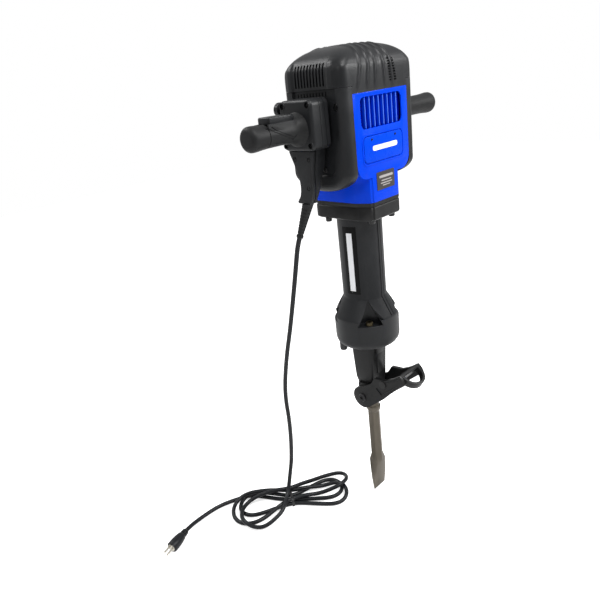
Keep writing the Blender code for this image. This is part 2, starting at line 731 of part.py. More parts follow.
def switch_box():
    """Two mating halves, the switch inside and the round lock-on button at the rear."""
    outlines = (box_outline(), box_outline(WALL))
    cup("switch_box_base", outlines, (BOX_SPLIT_X + GAP, BOX_INNER_X, BOX_INNER_X - WALL), BLACK_PLASTIC)
    cover = cup("switch_box_cover", outlines, (BOX_SPLIT_X, BOX_OUTER_X, BOX_OUTER_X + WALL), BLACK_PLASTIC)
    cut(cover, prism("core_hole", circle(CORE_R + GAP, 18), "x", BOX_OUTER_X - 0.01, BOX_OUTER_X + 0.01))
    cut(cover, prism("button_hole", circle(0.0056, 12, (-0.1560, 0.0390)), "y", 0.030, 0.060))
    module = box_data("switch_module", (-0.1400, -0.0150, -0.0300), (-0.1245, 0.0150, 0.0300))
    piece("switch_module", module, BLACK_PLASTIC)


def lock_button():
    """Round lock-on button: a cap with its stem in the box."""
    profile = [(0.0050, 0.0340), (0.0050, 0.0495), (0.0135, 0.0496), (0.0145, 0.0510), (0.0145, 0.0600),
               (0.0120, 0.0620)]
    data = turned("lock_button", profile, axis="y", centre=(-0.1560, 0.0390), steps=20)
    return piece("lock_button", data, BLACK_PLASTIC, (-0.1560, 0.0450, 0.0390))


def tail_outline(inset=0.0):
    """Side view of the cord housing: wide top, waist, and a foot that leans to the rear."""
    top = BOX_BOTTOM_Z - GAP
    rear = [(0.0400, top), (0.0268, -0.0740), (0.0172, -0.1030), (0.0172, -0.1260), (0.0205, -0.1370),
            (0.0290, -0.1480), (0.0260, -0.1525)]
    front = [(-0.0080, -0.1525), (-0.0122, -0.1450), (-0.0184, -0.1220), (-0.0190, -0.1070), (-0.0222, -0.0760),
             (-0.0290, top)]
    outline = []
    for y, z in rear + front:
        lift = inset * 0.7 if z < -0.140 else 0.0
        outline.append((y - math.copysign(inset, y - TAIL_MIDDLE_Y), z + lift))
    return outline


def cord_housing():
    """Two halves that lead the mains cord down from the switch box."""
    split = -0.1500
    outline = tail_outline()
    hollow = tail_outline(WALL)
    outer = piece("cord_housing_outer", prism("outer", outline, "x", TAIL_OUTER_X, split - GAP / 2), BLACK_PLASTIC)
    cut(outer, prism("outer_hollow", hollow, "x", TAIL_OUTER_X + WALL, split + 0.01))
    inner = piece("cord_housing_inner", prism("inner", outline, "x", split + GAP / 2, -0.1220), BLACK_PLASTIC)
    slope = [(-0.1235, -0.085), (-0.1330, -0.108), (-0.1430, -0.140), (-0.1430, -0.170), (-0.100, -0.170),
             (-0.100, -0.085)]
    cut(inner, prism("slope", slope, "y", -0.05, 0.05))
    cut(inner, prism("inner_hollow", hollow, "x", split - 0.01, -0.1470))


def grip_profile(side, inner_x, outer_x):
    """Turned profile of a rubber grip: flared collar, waist and bulbous closed end."""
    r = GRIP_R
    outer = [(0.0305, inner_x), (0.0295, inner_x + 0.006), (0.0245, inner_x + 0.014), (0.0225, inner_x + 0.030),
             (r - 0.0005, outer_x - 0.060), (r + 0.0008, outer_x - 0.026), (r, outer_x - 0.010),
             (r - 0.0055, outer_x - 0.0025), (0.008, outer_x)]
    bore = [(CORE_R + GAP, outer_x - 0.0100), (CORE_R + GAP, inner_x)]
    return [(radius, side * x) for radius, x in outer], [(radius, side * x) for radius, x in bore]


def grip(name, side, inner_x):
    """Rubber sleeve over a handle core, closed at the end."""
    outer, bore = grip_profile(side, inner_x, GRIP_END_X)
    bm = bmesh.new()
    steps = 24
    shells = [[[bm.verts.new((x, u, v)) for u, v in circle(radius, steps)] for radius, x in part]
              for part in (outer, bore)]
    bm.faces.new(shells[0][-1])
    bm.faces.new(shells[1][0])
    pairs = list(zip(shells[0], shells[0][1:])) + list(zip(shells[1], shells[1][1:]))
    pairs.append((shells[1][-1], shells[0][0]))
    for low, high in pairs:
        for i in range(steps):
            j = (i + 1) % steps
            bm.faces.new((low[i], low[j], high[j], high[i]))
    return piece(name, finish_mesh(name, bm), RUBBER)


TRIGGER_PIVOT = (-0.1960, 0.0, 0.0215)


def left_handle():
    """Core tube, rubber grip with the trigger's seat, and the trigger paddle."""
    core = prism("handle_core_left", circle(CORE_R, 18), "x", -CORE_END_X, -0.1545)
    piece("handle_core_left", core, STEEL)
    sleeve = grip("grip_left", -1, -BOX_OUTER_X + GAP)
    cut(sleeve, box_data("trigger_seat", (-0.2580, -0.0168, 0.0150), (-0.1880, 0.0168, 0.0500)))
    side = [(-0.1890, 0.0190), (-0.1890, 0.0315), (-0.2000, 0.0335), (-0.2500, 0.0345), (-0.2530, 0.0335),
            (-0.2540, 0.0310), (-0.2540, 0.0205)]
    paddle = piece("trigger", prism("trigger", side, "y", -0.0165, 0.0165), BLACK_PLASTIC, TRIGGER_PIVOT)
    soften(paddle, 0.0012, 1)


# ---------------------------------------------------------------- right handle
def right_handle():
    """Plain bracket, core tube and grip that mirror the switch side."""
    outline = [(y, z) for y, z in rounded_rectangle(0.0420, 0.0420, 0.0105, 3)]
    hollow = [(y, z) for y, z in rounded_rectangle(0.0420 - WALL, 0.0420 - WALL, 0.0075, 3)]
    bracket = cup("handle_bracket_right", (outline, hollow), (-BOX_INNER_X, 0.1600, 0.1570), BLACK_PLASTIC)
    cut(bracket, prism("core_hole", circle(CORE_R + GAP, 18), "x", 0.150, 0.170))
    piece("handle_core_right", prism("handle_core_right", circle(CORE_R, 18), "x", 0.1400, CORE_END_X), STEEL)
    grip("grip_right", 1, 0.1600 + GAP)


# ---------------------------------------------------------------- latch and chisel
def cheek_outline():
    """Side view of a latch cheek: round hub and a wedge up to the loop."""
    points = [(-0.1215, -0.5895), (-0.1366, -0.6090), (-0.1060, -0.6354), (-0.0693, -0.6721)]
    for i in range(9):
        angle = math.radians(226.0 + 26.0 * i)
        points.append((LATCH_R * math.cos(angle), LATCH_Z + LATCH_R * math.sin(angle)))
    return points + [(-0.0300, -0.6420), (-0.0430, -0.6210), (-0.0750, -0.6180), (-0.0980, -0.6060)]


def half_ring(half_width, straight, reach, back):
    """Outline of a D: straight back towards the hinge, round front reaching `reach`."""
    points = [(half_width, back), (half_width, straight)]
    for i in range(1, 10):
        angle = math.pi * i / 10
        points.append((half_width * math.cos(angle), straight - (reach + straight) * math.sin(angle)))
    return points + [(-half_width, straight), (-half_width, back)]


def tilted(data):
    """Turn a shape drawn on the XY plane into the plane of the latch loop."""
    data.transform(Matrix.Translation(LOOP_PLACE) @ Matrix.Rotation(LOOP_TILT, 4, "X"))
    return data


def retainer_latch():
    """Forked latch lever with a tilted finger loop; its lips hold the bit's collar."""
    made = piece("retainer_latch", prism("retainer_latch", cheek_outline(), "x", -CHEEK_OUT, -CHEEK_IN),
                 CAST_BLACK, (0.0, 0.0, LATCH_Z))
    join(made, prism("cheek", cheek_outline(), "x", CHEEK_IN, CHEEK_OUT))
    loop = half_ring(0.0345, -0.0050, 0.0420, 0.0050)
    join(made, tilted(prism("loop", loop, "z", -LOOP_HALF_BAND, LOOP_HALF_BAND)))
    eye = half_ring(0.0255, -0.0080, 0.0330, -0.0040)
    cut(made, tilted(prism("eye", eye, "z", -0.03, 0.03)))
    for side in (-1, 1):
        inner, outer = sorted((side * 0.0190, side * (CHEEK_IN + 0.002)))
        join(made, box_data("lip", (inner, -0.0100, -0.7215), (outer, 0.0100, -0.7135)))
        inner, outer = sorted((side * (CHEEK_IN - 0.005), side * (CHEEK_OUT + 0.005)))
        cut(made, prism("hub_hole", circle(0.0084, 14, (0.0, LATCH_Z)), "x", inner, outer))
    return made


def latch_bolts():
    """Stub bolts that the latch turns on."""
    for name, side in (("latch_bolt_left", -1), ("latch_bolt_right", 1)):
        profile = [(0.0080, side * 0.0250), (0.0080, side * 0.0408), (0.0110, side * 0.0409),
                   (0.0110, side * 0.0450)]
        piece(name, turned(name, profile, axis="x", centre=(0.0, LATCH_Z), steps=14), BOLT_BLACK)


def hexagon(scale=1.0):
    """Bit section with flats facing +X and -X."""
    radius = HEX_FLAT / math.sqrt(3.0) * scale
    return circle(radius, 6, start=math.radians(30.0))


def chisel():
    """Flat chisel: hexagon shank, retaining collar, shoulder and flared blade."""
    top = -0.5255
    shank_end = -0.9000
    rings = [[(x, y, top) for x, y in hexagon(0.85)], [(x, y, top - 0.004) for x, y in hexagon()],
             [(x, y, shank_end) for x, y in hexagon()]]
    blade = [(-0.9350, 0.0205, 0.0140), (-0.9620, 0.0225, 0.0140), (FLOOR_Z, 0.0230, 0.0018)]
    for z, half_x, half_y in blade:
        ring = []
        for x, y in hexagon():
            ring.append((half_x * (1 if x > 1e-6 else -1 if x < -1e-6 else 0.0), 0.0, z))
            near_middle = abs(x) < 1e-6
            ring[-1] = (0.0 if near_middle else ring[-1][0], half_y / 2.0 * (1 if y > 0 else -1), z)
        rings.append(ring)
    made = piece("chisel", lofted("chisel", rings), BIT_STEEL, (0.0, 0.0, FLOOR_Z))
    collar = [(0.0150, -0.6960), (0.0215, -0.6980), (0.0235, -0.7010), (0.0235, -0.7055), (0.0190, -0.7115),
              (0.0150, -0.7120)]
    join(made, turned("collar", collar, steps=20))
    shoulder = [(0.0150, -0.7330), (0.0185, -0.7345), (0.0185, -0.7440), (0.0150, -0.7520)]
    join(made, turned("shoulder", shoulder, steps=20))
    return made


# ---------------------------------------------------------------- cord
def strain_relief():
    """Tapered rubber sleeve with a bead where the cord comes out."""
    heading = (EXIT_END - EXIT_TOP).normalized()
    start = EXIT_TOP - 0.006 * heading
    length = (EXIT_END - start).length
    profile = [(0.0125, 0.0), (0.0115, 0.006), (0.0066, length - 0.006), (0.0080, length - 0.004),
               (0.0080, length)]
    data = turned("strain_relief", profile, steps=14)
    made = piece("strain_relief", aligned(data, start, heading), RUBBER)
    cut(made, box_data("top_trim", (-0.2, -0.05, -0.1528), (-0.1, 0.05, -0.10)))
    return made


def hank():
    """Outer shape of the tied hank: a waist between a wide lobe and a narrower one."""
    across = Vector((-HANK_DIRECTION.y, HANK_DIRECTION.x, 0.0))
    rings = []
    for z in (FLOOR_Z + GAP, FLOOR_Z + GAP + HANK_THICKNESS):
        ring = []
        for i in range(44):
            angle = 2.0 * math.pi * i / 44
            spread = math.cos(angle) ** 2
            swell, drift = (0.138, 0.027) if math.cos(angle) > 0.0 else (0.104, 0.0045)
            width = math.sin(angle) * (HANK_WAIST + swell * spread) + drift * spread
            spot = HANK_CENTRE + HANK_DIRECTION * HANK_HALF_LENGTH * math.cos(angle) + across * width
            ring.append((spot.x, spot.y, z))
        rings.append(ring)
    return piece("cord_hank", lofted("cord_hank", rings), CORD_RUBBER, smooth=False)


def hank_tie():
    """Wire tie across the hank's waist."""
    inner = HANK_WAIST + 0.0012
    top = FLOOR_Z + GAP + HANK_THICKNESS + GAP
    outline = [(-inner - 0.002, FLOOR_Z + GAP), (-inner, FLOOR_Z + GAP), (-inner, top), (inner, top),
               (inner, FLOOR_Z + GAP), (inner + 0.002, FLOOR_Z + GAP), (inner + 0.002, top + 0.002),
               (-inner - 0.002, top + 0.002)]
    data = prism("hank_tie", outline, "x", -0.004, 0.004)
    turn = Matrix.Rotation(math.atan2(HANK_DIRECTION.y, HANK_DIRECTION.x), 4, "Z")
    data.transform(Matrix.Translation(HANK_CENTRE) @ turn)
    return piece("hank_tie", data, BOLT_BLACK, smooth=False)


def plug():
    """Three-pin mains plug lying on the floor at the end of the cord."""
    body_profile = [(0.0060, 0.0003), (0.0078, 0.0020), (0.0090, 0.0320), (0.0138, 0.0400), (0.0148, 0.0440),
                    (0.0148, 0.0600), (0.0130, 0.0620)]
    body = piece("plug_body", aligned(turned("plug_body", body_profile, steps=18), PLUG_START, PLUG_DIRECTION),
                 CORD_RUBBER)
    across = Vector((-PLUG_DIRECTION.y, PLUG_DIRECTION.x, 0.0))
    base = PLUG_START + PLUG_DIRECTION * 0.0623
    pins = piece("plug_prongs", aligned(prism("insert", circle(0.0095, 12), "z", 0.0, 0.0016), base,
                                        PLUG_DIRECTION), NICKEL)
    for shift in (-1, 1):
        blade = prism("blade", [(-0.0030, -0.0008), (0.0030, -0.0008), (0.0030, 0.0008), (-0.0030, 0.0008)],
                      "z", 0.0008, 0.0215)
        join(pins, aligned(blade, base + across * 0.0060 * shift + Vector((0, 0, 0.0020)), PLUG_DIRECTION))
    ground = prism("ground", circle(0.0024, 10), "z", 0.0008, 0.0225)
    join(pins, aligned(ground, base + Vector((0, 0, -0.0055)), PLUG_DIRECTION))
    return body


def cord():
    """The mains cord's free stretches, hank, tie and plug."""
    strain_relief()
    tube("cord_drop", smooth_route(DROP_ROUTE, 0.020), CORD_D, CORD_RUBBER)
    tube("cord_tail", smooth_route(TAIL_ROUTE, 0.018), CORD_D, CORD_RUBBER)
    hank()
    hank_tie()
    plug()


# ---------------------------------------------------------------- assembly
def clear_scene():
    for existing in list(bpy.data.objects):
        bpy.data.objects.remove(existing, do_unlink=True)


def main():
    clear_scene()
    motor_housing()
    front_badge()
    rating_plate()
    top_cover()
    side_cover("side_cover_left", -1)
    side_cover("side_cover_right", 1)
    flange_ring()
    flange_bolts()
    barrel_shell("barrel_shell_left", -1)
    barrel_shell("barrel_shell_right", 1)
    nose_casting()
    nose_bolts()
    cylinder_tube()
    front_head()
    impact_bolt()
    striker()
    piston()
    connecting_rod()
    crank_shaft()
    intermediate_gear()
    armature()
    cooling_fan()
    stator()
    bearing("armature_bearing_left", ARMATURE_Z, 0.0073, 0.0140, -0.0990, -0.0890)
    bearing("armature_bearing_right", ARMATURE_Z, 0.0073, 0.0150, 0.0530, 0.0620)
    bearing("crank_bearing", CRANK_Z, 0.0103, 0.0220, 0.0530, 0.0620)
    gear_bracket()
    brush_holders()
    switch_box()
    lock_button()
    cord_housing()
    left_handle()
    right_handle()
    retainer_latch()
    latch_bolts()
    chisel()
    cord()


main()
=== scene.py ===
"""Looks of the electric jackhammer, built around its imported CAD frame.

Metres, +Z up, X along the handles, -Y the grille side.  Sizes come from the CAD
nodes' boxes wherever a piece has a CAD node of its own.
"""
import json
import math

import bmesh
import bpy
from mathutils import Matrix, Vector

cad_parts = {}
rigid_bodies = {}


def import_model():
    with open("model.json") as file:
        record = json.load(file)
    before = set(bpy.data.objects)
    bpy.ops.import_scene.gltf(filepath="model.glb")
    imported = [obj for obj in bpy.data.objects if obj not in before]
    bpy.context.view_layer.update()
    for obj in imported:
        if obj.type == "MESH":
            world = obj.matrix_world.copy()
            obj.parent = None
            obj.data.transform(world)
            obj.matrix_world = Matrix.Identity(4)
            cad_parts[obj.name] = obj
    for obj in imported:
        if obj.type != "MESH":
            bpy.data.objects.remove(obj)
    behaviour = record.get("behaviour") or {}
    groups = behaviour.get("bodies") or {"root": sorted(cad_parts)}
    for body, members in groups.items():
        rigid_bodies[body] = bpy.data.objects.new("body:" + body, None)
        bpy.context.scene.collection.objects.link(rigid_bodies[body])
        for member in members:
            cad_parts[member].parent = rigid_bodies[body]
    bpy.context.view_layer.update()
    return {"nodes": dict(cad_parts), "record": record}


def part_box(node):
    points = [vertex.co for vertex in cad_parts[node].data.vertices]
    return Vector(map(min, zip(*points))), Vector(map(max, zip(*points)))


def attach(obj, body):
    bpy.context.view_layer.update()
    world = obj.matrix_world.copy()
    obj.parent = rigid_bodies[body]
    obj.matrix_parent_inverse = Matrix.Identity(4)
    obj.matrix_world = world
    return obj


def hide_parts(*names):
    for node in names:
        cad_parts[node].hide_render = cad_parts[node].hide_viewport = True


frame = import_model()

# ---------------------------------------------------------------- driving sizes
HOUSING_LOW, HOUSING_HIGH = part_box("motor_housing")
FLANGE_LOW, FLANGE_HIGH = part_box("flange_ring")
BELL_LOW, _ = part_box("nose_casting")
CHISEL_LOW, CHISEL_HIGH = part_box("chisel")
BOX_LOW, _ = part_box("switch_box_cover")

FLOOR_Z = CHISEL_LOW.z
PANEL_X = HOUSING_HIGH.x                 # half width of the coloured panel
FRONT_Y = HOUSING_LOW.y                  # front face of the head
COVER_SEAM_Z = 0.069                     # where the top cover meets the side covers
WALL = 0.003                             # thickness of the plastic covers
PIN_GAP = 0.0003                         # play between mating parts

CORD_D = 0.011                           # diameter of the jacket
HANK_CENTRE = Vector((-0.1986, 0.1576, 0.0))
HANK_ALONG = Vector((-0.8465, 0.5323, 0.0))
HANK_ACROSS = Vector((-0.5323, -0.8465, 0.0))


# ---------------------------------------------------------------- camera, light, floor
CAMERA_PLACE = (-0.97262, -0.82802, 0.10272)
CAMERA_TURNS = (-0.73949, 0.38404, -0.12413)    # azimuth, elevation, roll in radians
LAMPS = [  # name, place, target, size, power
    ("key", (0.1, -1.8, 2.6), (0.0, 0.0, 0.1), 0.9, 80.0),
    ("fill", (-2.4, -0.7, 1.5), (0.0, 0.0, 0.0), 0.9, 10.0),
    ("rim", (-0.8, 1.9, 1.8), (0.0, 0.0, 0.0), 1.0, 34.0),
    ("sheen", (0.9, -1.1, 0.55), (0.0, 0.0, 0.0), 0.5, 17.0),
]
FLOOR_HALF = 6.0
FLOOR_DROP = 0.0006                      # keeps the floor off the chisel's edge


def camera():
    """Camera at the reference view: low left front, slightly rolled."""
    azimuth, elevation, roll = CAMERA_TURNS
    data = bpy.data.cameras.new("camera")
    data.lens = 33.35
    data.sensor_width = 36.0
    made = bpy.data.objects.new("camera", data)
    turn = Matrix.Rotation(azimuth, 4, "Z") @ Matrix.Rotation(math.pi / 2 - elevation, 4, "X")
    made.matrix_world = Matrix.Translation(CAMERA_PLACE) @ turn @ Matrix.Rotation(roll, 4, "Z")
    bpy.context.scene.collection.objects.link(made)
    bpy.context.scene.camera = made


def heading(direction, axis):
    """Turn that points an object's axis along a direction."""
    return Vector(direction).to_track_quat(axis, "Y").to_matrix().to_4x4()


def area_light(name, place, target, size, power):
    """Soft square light aimed at a point."""
    data = bpy.data.lights.new(name, "AREA")
    data.size = size
    data.energy = power
    made = bpy.data.objects.new(name, data)
    direction = Vector(target) - Vector(place)
    made.matrix_world = Matrix.Translation(place) @ heading(direction, "-Z")
    bpy.context.scene.collection.objects.link(made)


def shader_node(tree, kind, values=None, **settings):
    """New shader node with its settings and the values of its inputs."""
    made = tree.nodes.new("ShaderNode" + kind)
    for key, value in settings.items():
        setattr(made, key, value)
    for key, value in (values or {}).items():
        made.inputs[key].default_value = value
    return made


def seen_strength(tree, others, camera_ray):
    """Strength that is `others` for the light given and `camera_ray` for what is seen."""
    ray = shader_node(tree, "LightPath")
    mix = shader_node(tree, "Mix", {"B": camera_ray})
    tree.links.new(ray.outputs["Is Camera Ray"], mix.inputs["Factor"])
    if isinstance(others, float):
        mix.inputs["A"].default_value = others
    else:
        tree.links.new(others, mix.inputs["A"])
    return mix.outputs["Result"]


def backdrop():
    """White surround for the camera; the light it gives comes mostly from above and behind."""
    world = bpy.data.worlds.new("studio")
    world.use_nodes = True
    tree = world.node_tree
    back = tree.nodes["Background"]
    back.inputs["Color"].default_value = (1.0, 1.0, 1.0, 1.0)
    place = shader_node(tree, "TexCoord")
    facing = shader_node(tree, "VectorMath", {1: (0.15, 0.5, 0.85)}, operation="DOT_PRODUCT")
    tree.links.new(place.outputs["Generated"], facing.inputs[0])
    glow = shader_node(tree, "MapRange", {"From Min": -0.75, "From Max": 0.55, "To Min": 0.11,
                                          "To Max": 0.62},
                       interpolation_type="SMOOTHSTEP")
    tree.links.new(facing.outputs["Value"], glow.inputs["Value"])
    tree.links.new(seen_strength(tree, glow.outputs["Result"], 1.0), back.inputs["Strength"])
    bpy.context.scene.world = world
    bpy.context.scene.view_settings.view_transform = "Standard"


def studio():
    """Pale floor, white surround and four soft lights."""
    backdrop()
    for lamp in LAMPS:
        area_light(*lamp)
    data = bpy.data.meshes.new("floor")
    corners = [(-1, -1), (1, -1), (1, 1), (-1, 1)]
    data.from_pydata([(x * FLOOR_HALF, y * FLOOR_HALF, FLOOR_Z - FLOOR_DROP) for x, y in corners],
                     [], [(0, 1, 2, 3)])
    floor = bpy.data.objects.new("floor", data)
    material = bpy.data.materials.new("floor")
    material.use_nodes = True
    tree = material.node_tree
    shader = tree.nodes["Principled BSDF"]
    shader.inputs["Base Color"].default_value = (0.93, 0.93, 0.93, 1.0)
    shader.inputs["Roughness"].default_value = 0.9
    shader.inputs["Emission Color"].default_value = (1.0, 1.0, 1.0, 1.0)
    tree.links.new(seen_strength(tree, 0.05, 0.6), shader.inputs["Emission Strength"])
    data.materials.append(material)
    bpy.context.scene.collection.objects.link(floor)


# ---------------------------------------------------------------- materials
FINISH = {}


def surface(name, colour, roughness, metallic=0.0, grain=0.0, grain_size=0.0008, blotch=0.12,
            worn=None, worn_amount=0.0, coat=0.0, streak=None, gleam=0.5):
    """Procedural finish: colour clouds, fine grain bump, uneven gloss and rubbed edges."""
    made = bpy.data.materials.new(name)
    made.use_nodes = True
    tree = made.node_tree
    shader = tree.nodes["Principled BSDF"]
    link = tree.links.new
    source = shader_node(tree, "TexCoord").outputs["Object"]
    if streak:
        stretch = shader_node(tree, "Mapping", {"Scale": streak})
        link(source, stretch.inputs["Vector"])
        source = stretch.outputs["Vector"]
    clouds = shader_node(tree, "TexNoise", {"Scale": 38.0, "Detail": 6.0})
    link(source, clouds.inputs["Vector"])
    dark = [c * (1.0 - blotch) for c in colour]
    light = [min(1.0, c * (1.0 + blotch)) for c in colour]
    tint = shader_node(tree, "Mix", {"A": (*dark, 1.0), "B": (*light, 1.0)}, data_type="RGBA")
    link(clouds.outputs["Fac"], tint.inputs["Factor"])
    colour_out = tint.outputs["Result"]
    if worn:
        geometry = shader_node(tree, "NewGeometry")
        edge = shader_node(tree, "MapRange", {"From Min": 0.52, "From Max": 0.62,
                                              "To Max": worn_amount})
        link(geometry.outputs["Pointiness"], edge.inputs["Value"])
        patches = shader_node(tree, "Math", operation="MULTIPLY")
        link(edge.outputs["Result"], patches.inputs[0])
        link(clouds.outputs["Fac"], patches.inputs[1])
        rubbed = shader_node(tree, "Mix", {"B": (*worn, 1.0)}, data_type="RGBA")
        link(patches.outputs["Value"], rubbed.inputs["Factor"])
        link(colour_out, rubbed.inputs["A"])
        colour_out = rubbed.outputs["Result"]
    link(colour_out, shader.inputs["Base Color"])
    gloss = shader_node(tree, "MapRange", {"To Min": max(0.03, roughness * 0.82),
                                           "To Max": min(1.0, roughness * 1.18)})
    link(clouds.outputs["Fac"], gloss.inputs["Value"])
    link(gloss.outputs["Result"], shader.inputs["Roughness"])
    if grain:
        fine = shader_node(tree, "TexNoise", {"Scale": 1.0 / grain_size, "Detail": 3.0})
        link(source, fine.inputs["Vector"])
        bump = shader_node(tree, "Bump", {"Strength": grain, "Distance": 0.0004})
        link(fine.outputs["Fac"], bump.inputs["Height"])
        link(bump.outputs["Normal"], shader.inputs["Normal"])
    shader.inputs["Metallic"].default_value = metallic
    shader.inputs["Specular IOR Level"].default_value = gleam
    shader.inputs["Coat Weight"].default_value = coat
    shader.inputs["Coat Roughness"].default_value = 0.12
    FINISH[name] = made


def make_materials():
    """Every finish on the tool, by the record's slot names, with a few extra shades, among them
    painted highlight and painted shade colours.
    """
    grey_wear = (0.07, 0.072, 0.076)
    surface("black_plastic", (0.0105, 0.0112, 0.0125), 0.4, grain=0.22, worn=grey_wear,
            worn_amount=0.35, gleam=0.26)
    surface("rubber", (0.011, 0.0113, 0.0118), 0.52, grain=0.35, grain_size=0.0012, worn=grey_wear,
            worn_amount=0.3, gleam=0.22)
    surface("cast_black", (0.0056, 0.0058, 0.0061), 0.38, grain=0.45, grain_size=0.0016,
            worn=(0.08, 0.08, 0.08), worn_amount=0.5, gleam=0.22)
    surface("bell_black", (0.01, 0.0107, 0.0118), 0.42, grain=0.3, grain_size=0.0012,
            worn=grey_wear, worn_amount=0.35, gleam=0.24)
    surface("blue_shell", (0.0, 0.048, 0.66), 0.26, grain=0.05, grain_size=0.0015, blotch=0.05,
            gleam=0.05, coat=0.05)
    surface("blue_badge", (0.0, 0.052, 0.63), 0.28, grain=0.05, grain_size=0.0015, blotch=0.04,
            gleam=0.05, coat=0.04)
    # light blue of the painted highlight strips on the grille bars' left edges
    surface("blue_painted_highlight", (0.09, 0.22, 0.8), 0.22, grain=0.05, blotch=0.05, gleam=0.3)
    # dark blue of the grille's backing plate: painted shade of the recess behind the bars
    surface("blue_painted_shade", (0.0, 0.004, 0.3), 0.4, grain=0.05, blotch=0.1, gleam=0.1)
    surface("steel", (0.42, 0.42, 0.43), 0.32, 1.0, grain=0.2, streak=(1.0, 1.0, 12.0))
    surface("bit_steel", (0.112, 0.098, 0.078), 0.46, 0.75, grain=0.5, grain_size=0.0022,
            blotch=0.45,
            worn=(0.42, 0.38, 0.34), worn_amount=1.0, streak=(1.0, 1.0, 0.35), gleam=0.3)
    surface("copper", (0.5, 0.22, 0.09), 0.38, 1.0, grain=0.2, streak=(0.3, 1.0, 1.0))
    surface("bolt_black", (0.01, 0.01, 0.011), 0.34, 0.3, grain=0.2, worn=(0.1, 0.1, 0.1),
            worn_amount=0.6, gleam=0.3)
    surface("bolt_brassy", (0.055, 0.046, 0.028), 0.4, 0.9, grain=0.2, blotch=0.3,
            worn=(0.3, 0.24, 0.13), worn_amount=0.7)
    surface("label_grey", (0.05, 0.044, 0.043), 0.35, grain=0.05, blotch=0.08, gleam=0.25)
    # near black of the barrel's label strip, and painted shade on the sheets behind the cover's
    # vents
    surface("label_and_shade_black", (0.0025, 0.0025, 0.0028), 0.34, grain=0.05, blotch=0.1, gleam=0.12)
    surface("print_grey", (0.36, 0.34, 0.33), 0.45, grain=0.04, blotch=0.08, gleam=0.3)
    surface("print_white", (0.8, 0.81, 0.83), 0.45, grain=0.04, blotch=0.03, gleam=0.3)
    surface("nickel", (0.7, 0.67, 0.6), 0.22, 1.0, grain=0.1)
    surface("cord_rubber", (0.007, 0.008, 0.01), 0.34, grain=0.15, grain_size=0.0006, blotch=0.2,
            gleam=0.26)


make_materials()


# ---------------------------------------------------------------- mesh helpers
def finish_mesh(name, bm):
    """The finished mesh, with its faces turned outwards."""
    bmesh.ops.recalc_face_normals(bm, faces=bm.faces[:])
    data = bpy.data.meshes.new(name)
    bm.to_mesh(data)
    bm.free()
    return data


def skin(bm, low, high):
    """Faces between two rings of vertices."""
    count = len(low)
    for i in range(count):
        j = (i + 1) % count
        bm.faces.new((low[i], low[j], high[j], high[i]))


def lofted(name, rings, loop=False):
    """Skin equal-length rings; a loop joins the last ring to the first."""
    bm = bmesh.new()
    levels = [[bm.verts.new(point) for point in ring] for ring in rings]
    pairs = list(zip(levels, levels[1:]))
    if loop:
        pairs.append((levels[-1], levels[0]))
    else:
        bm.faces.new(levels[0])
        bm.faces.new(levels[-1])
    for low, high in pairs:
        skin(bm, low, high)
    return finish_mesh(name, bm)


def place(axis, u, v, w):
    """(u, v) in the plane across `axis`, w along it; u, v follow X, Y, Z order."""
    return {"x": (w, u, v), "y": (u, w, v), "z": (u, v, w)}[axis]


def prism(outline, axis, low, high):
    """Straight block of an outline, from low to high along an axis."""
    return lofted("prism", [[place(axis, u, v, w) for u, v in outline] for w in (low, high)])


def circle(radius, steps, centre=(0.0, 0.0), start=0.0):
    """Corners of a regular polygon, the first at angle `start`."""
    points = []
    for i in range(steps):
        angle = start + 2.0 * math.pi * i / steps
        points.append((centre[0] + radius * math.cos(angle), centre[1] + radius * math.sin(angle)))
    return points


def rounded(half_u, half_v, radius, centre=(0.0, 0.0), steps=6):
    """Corner-rounded rectangle."""
    points = []
    for corner in range(4):
        at_u = centre[0] + (half_u - radius) * (1, -1, -1, 1)[corner]
        at_v = centre[1] + (half_v - radius) * (1, 1, -1, -1)[corner]
        for step in range(steps + 1):
            angle = math.radians(90.0 * (corner + step / steps))
            points.append((at_u + radius * math.cos(angle), at_v + radius * math.sin(angle)))
    return points


def span(side, near, far):
    """The two ends of a stretch on one side of the middle, the lower one first."""
    return sorted((side * near, side * far))


def mirrored(right):
    """Close a right-hand outline with its mirror image."""
    return right + [(-u, v) for u, v in reversed(right)]


def box(low, high):
    """Block between two opposite corners."""
    outline = [(low[0], low[1]), (high[0], low[1]), (high[0], high[1]), (low[0], high[1])]
    return prism(outline, "z", low[2], high[2])


def turned(profile, axis="z", centre=(0.0, 0.0), steps=48, loop=False):
    """(radius, along) profile turned about an axis."""
    rings = []
    for radius, along in profile:
        rings.append([place(axis, u, v, along)
                      for u, v in circle(max(radius, 1e-4), steps, centre)])
    return lofted("turned", rings, loop)


def arc(centre, radius, start, end, steps):
    """Points of an arc, angles in degrees."""
    points = []
    for i in range(steps + 1):
        angle = math.radians(start + (end - start) * i / steps)
        points.append((centre[0] + radius * math.cos(angle), centre[1] + radius * math.sin(angle)))
    return points


def merged(shapes):
    """Several mesh shapes as one mesh."""
    bm = bmesh.new()
    for shape in shapes:
        bm.from_mesh(shape)
    data = bpy.data.meshes.new("merged")
    bm.to_mesh(data)
    bm.free()
    return data


def applied(made):
    """Replace the object's mesh by what its modifiers make of it."""
    bpy.context.view_layer.update()
    evaluated = made.evaluated_get(bpy.context.evaluated_depsgraph_get())
    data = bpy.data.meshes.new_from_object(evaluated)
    made.modifiers.clear()
    made.data = data


def carve(made, shapes, operation="DIFFERENCE"):
    """Remove or add shapes, which may be a list."""
    tool = bpy.data.objects.new("tool", merged(shapes if isinstance(shapes, list) else [shapes]))
    bpy.context.scene.collection.objects.link(tool)
    modifier = made.modifiers.new("carve", "BOOLEAN")
    modifier.operation = operation
    modifier.object = tool
    applied(made)
    bpy.data.objects.remove(tool)


